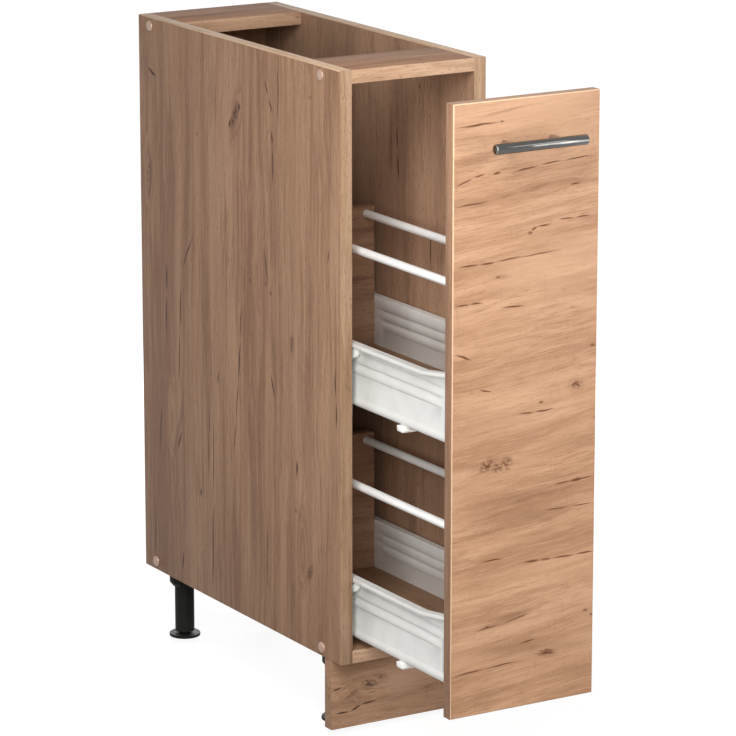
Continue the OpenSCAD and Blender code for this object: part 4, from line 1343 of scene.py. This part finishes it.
        def between(side: Side, low: Point, high: Point) -> None:
            """Opens a block, from a box of the right side that is told from the carcass bottom up."""
            x0, x1 = sorted((side.value * low[0], side.value * high[0]))
            block((x0, low[1], self.z + low[2]), (x1, high[1], self.z + high[2]))

        for side in Side:
            between(side, *self.guide_box)
            pick("EDGE", lambda c, d: c.z < (self.z + self.guide_box[0][2] + 0.5) * MM and abs(d.x) > 0.5)
            ease(2.4, 3)
            take_all()
            ease(0.4)
            body = settle("guide")
            between(side, *self.tongue_box)
            inner, top = self.tongue_box[0][0] + 3, self.z + self.tongue_box[1][2] - 1
            pick("VERT", lambda c, _n, x=inner, z=top: abs(c.x) < x * MM and c.z > z * MM)
            bpy.ops.transform.translate(value=(0, 0, -self.tongue_drop * MM))
            take_all("EDGE")
            ease(0.5)
            piece = joined(f"guide_{self.tier.word}_{side.word}", [body, settle("tongue")])
            self.work.place(piece, [ACETAL_WHITE], "pull_out", "white_plastic", "guide_blocks")

    def build(self) -> None:
        """Builds the drawer."""
        roller = Roller(self.work, faces_in=False)
        for side in Side:
            self.steel_side(side)
            node = f"drawer_roller_{self.tier.word}_{side.word}"
            roller.build(node, side, self.roller_y, self.z + self.roller_up)
        self.boards()
        self.gallery()
        self.guides()


@dataclass
class Studio:
    """White floor, soft light and the camera of the photograph."""

    eye: Point = (-2.441, -3.954, 1.597)
    yaw: float = 31.03
    pitch: float = 13.93
    sensor: float = 36.0
    focal: float = 4029.0 / 736.0 * 36.0
    floor_z: float = -10.2 * MM

    def camera(self) -> None:
        """Sets up the camera, with no lens shift."""
        data = bpy.data.cameras.new("camera")
        data.sensor_width, data.lens, data.clip_end = self.sensor, self.focal, 100.0
        seen = bpy.data.objects.new("camera", data)
        seen.location = self.eye
        seen.rotation_euler = (math.radians(90 - self.pitch), 0, math.radians(-self.yaw))
        bpy.context.scene.collection.objects.link(seen)
        bpy.context.scene.camera = seen

    def lamps(self) -> None:
        """Hangs the soft boxes: name, place, aim, width and height in metres, and power in watts."""
        middle = (0.0, 0.0, 0.45)
        for name, at, aim, size, watts in (
            ("key_high", (-0.852, -0.946, 1.723), middle, (0.8, 0.8), 18.0),
            ("key_level", (-1.234, -1.37, 0.91), middle, (0.9, 1.2), 24.0),
            ("fill_right", (1.066, -1.522, 0.72), middle, (0.8, 0.8), 10.0),
            ("fill_low", (1.152, -0.966, 0.5), (0.0, -0.1, 0.3), (0.7, 0.7), 5.5),
            ("glint", (1.1, -1.88, 1.77), (0.0, -0.271, 0.7585), (1.4, 0.5), 7.0),
            ("fill_side", (-0.9, 0.75, 0.42), (-0.1, 0.25, 0.42), (0.5, 0.8), 1.7),
            # from behind, so that the back and the right side are seen well too
            ("rear", (1.1, 1.6, 0.38), (0.0, 0.25, 0.45), (1.2, 0.6), 20.0),
        ):
            data = bpy.data.lights.new(name, "AREA")
            data.shape, data.size, data.size_y, data.energy = "RECTANGLE", *size, watts
            hung = bpy.data.objects.new(name, data)
            hung.location = at
            hung.rotation_euler = (Vector(aim) - Vector(at)).to_track_quat("-Z", "Y").to_euler()
            hung.visible_camera = False
            bpy.context.scene.collection.objects.link(hung)

    def world(self) -> None:
        """Even ambient light; the eye, mirrors and glass see plain white."""
        world = bpy.data.worlds.new("studio")
        world.use_nodes = True
        tree = world.node_tree
        tree.nodes.clear()
        level = spread(tree, background_rays(tree), to_min=0.15)
        sky = add(tree, "Background", {"Color": (1, 1, 1, 1), "Strength": level})
        add(tree, "OutputWorld", {"Surface": sky.outputs[0]}).is_active_output = True
        bpy.context.scene.world = world

    def floor(self) -> None:
        """Lays the white floor, which keeps a light shadow.

        It lies as low as a foot reaches when it is screwed out, so that it hides no foot at any pose.
        """
        clear()
        bpy.ops.mesh.primitive_plane_add(size=60.0, location=(0, 0, self.floor_z))
        ground = settle("studio_floor")
        material, tree, shader, place = start("Studio_floor_white_paint")
        tree.nodes.remove(shader)
        matt = add(tree, "BsdfDiffuse", {"Color": linear("848484")}).outputs[0]
        # paler with distance, so that the far floor is as white as the wall of the studio
        away = vector(tree, "LENGTH", {0: place}, "Value")
        white = spread(tree, away, from_min=0.4, from_max=2.2, to_min=0.87)
        glow = add(tree, "Emission", {"Color": (1, 1, 1, 1), "Strength": white}).outputs[0]
        lit = add(tree, "AddShader", {0: matt, 1: glow}).outputs[0]
        both = add(tree, "MixShader", {0: background_rays(tree), 1: matt, 2: lit})
        tree.links.new(both.outputs[0], tree.nodes["Material Output"].inputs["Surface"])
        ground.data.materials.append(material)

    def build(self) -> None:
        """Sets up the studio."""
        bpy.context.scene.view_settings.view_transform = "Standard"
        self.camera()
        self.world()
        self.floor()
        self.lamps()


def main() -> None:
    """Builds the studio and the unit, piece by piece."""
    logging.basicConfig(level=logging.INFO, format="%(name)s %(message)s")
    Studio().build()
    work = Workshop()
    for part in (Carcass(work), Legs(work), Runners(work), Front(work), *(Drawer(work, tier) for tier in Tier)):
        part.build()
        LOG.info("%s done", type(part).__name__)
    work.keep(ZINC, "drawer_screws", "drawer_axles")
    work.keep(ACETAL_WHITE, "rod_pins")
    LOG.info("%d pieces made", work.count)
    clear()


if __name__ == "__main__":
    main()
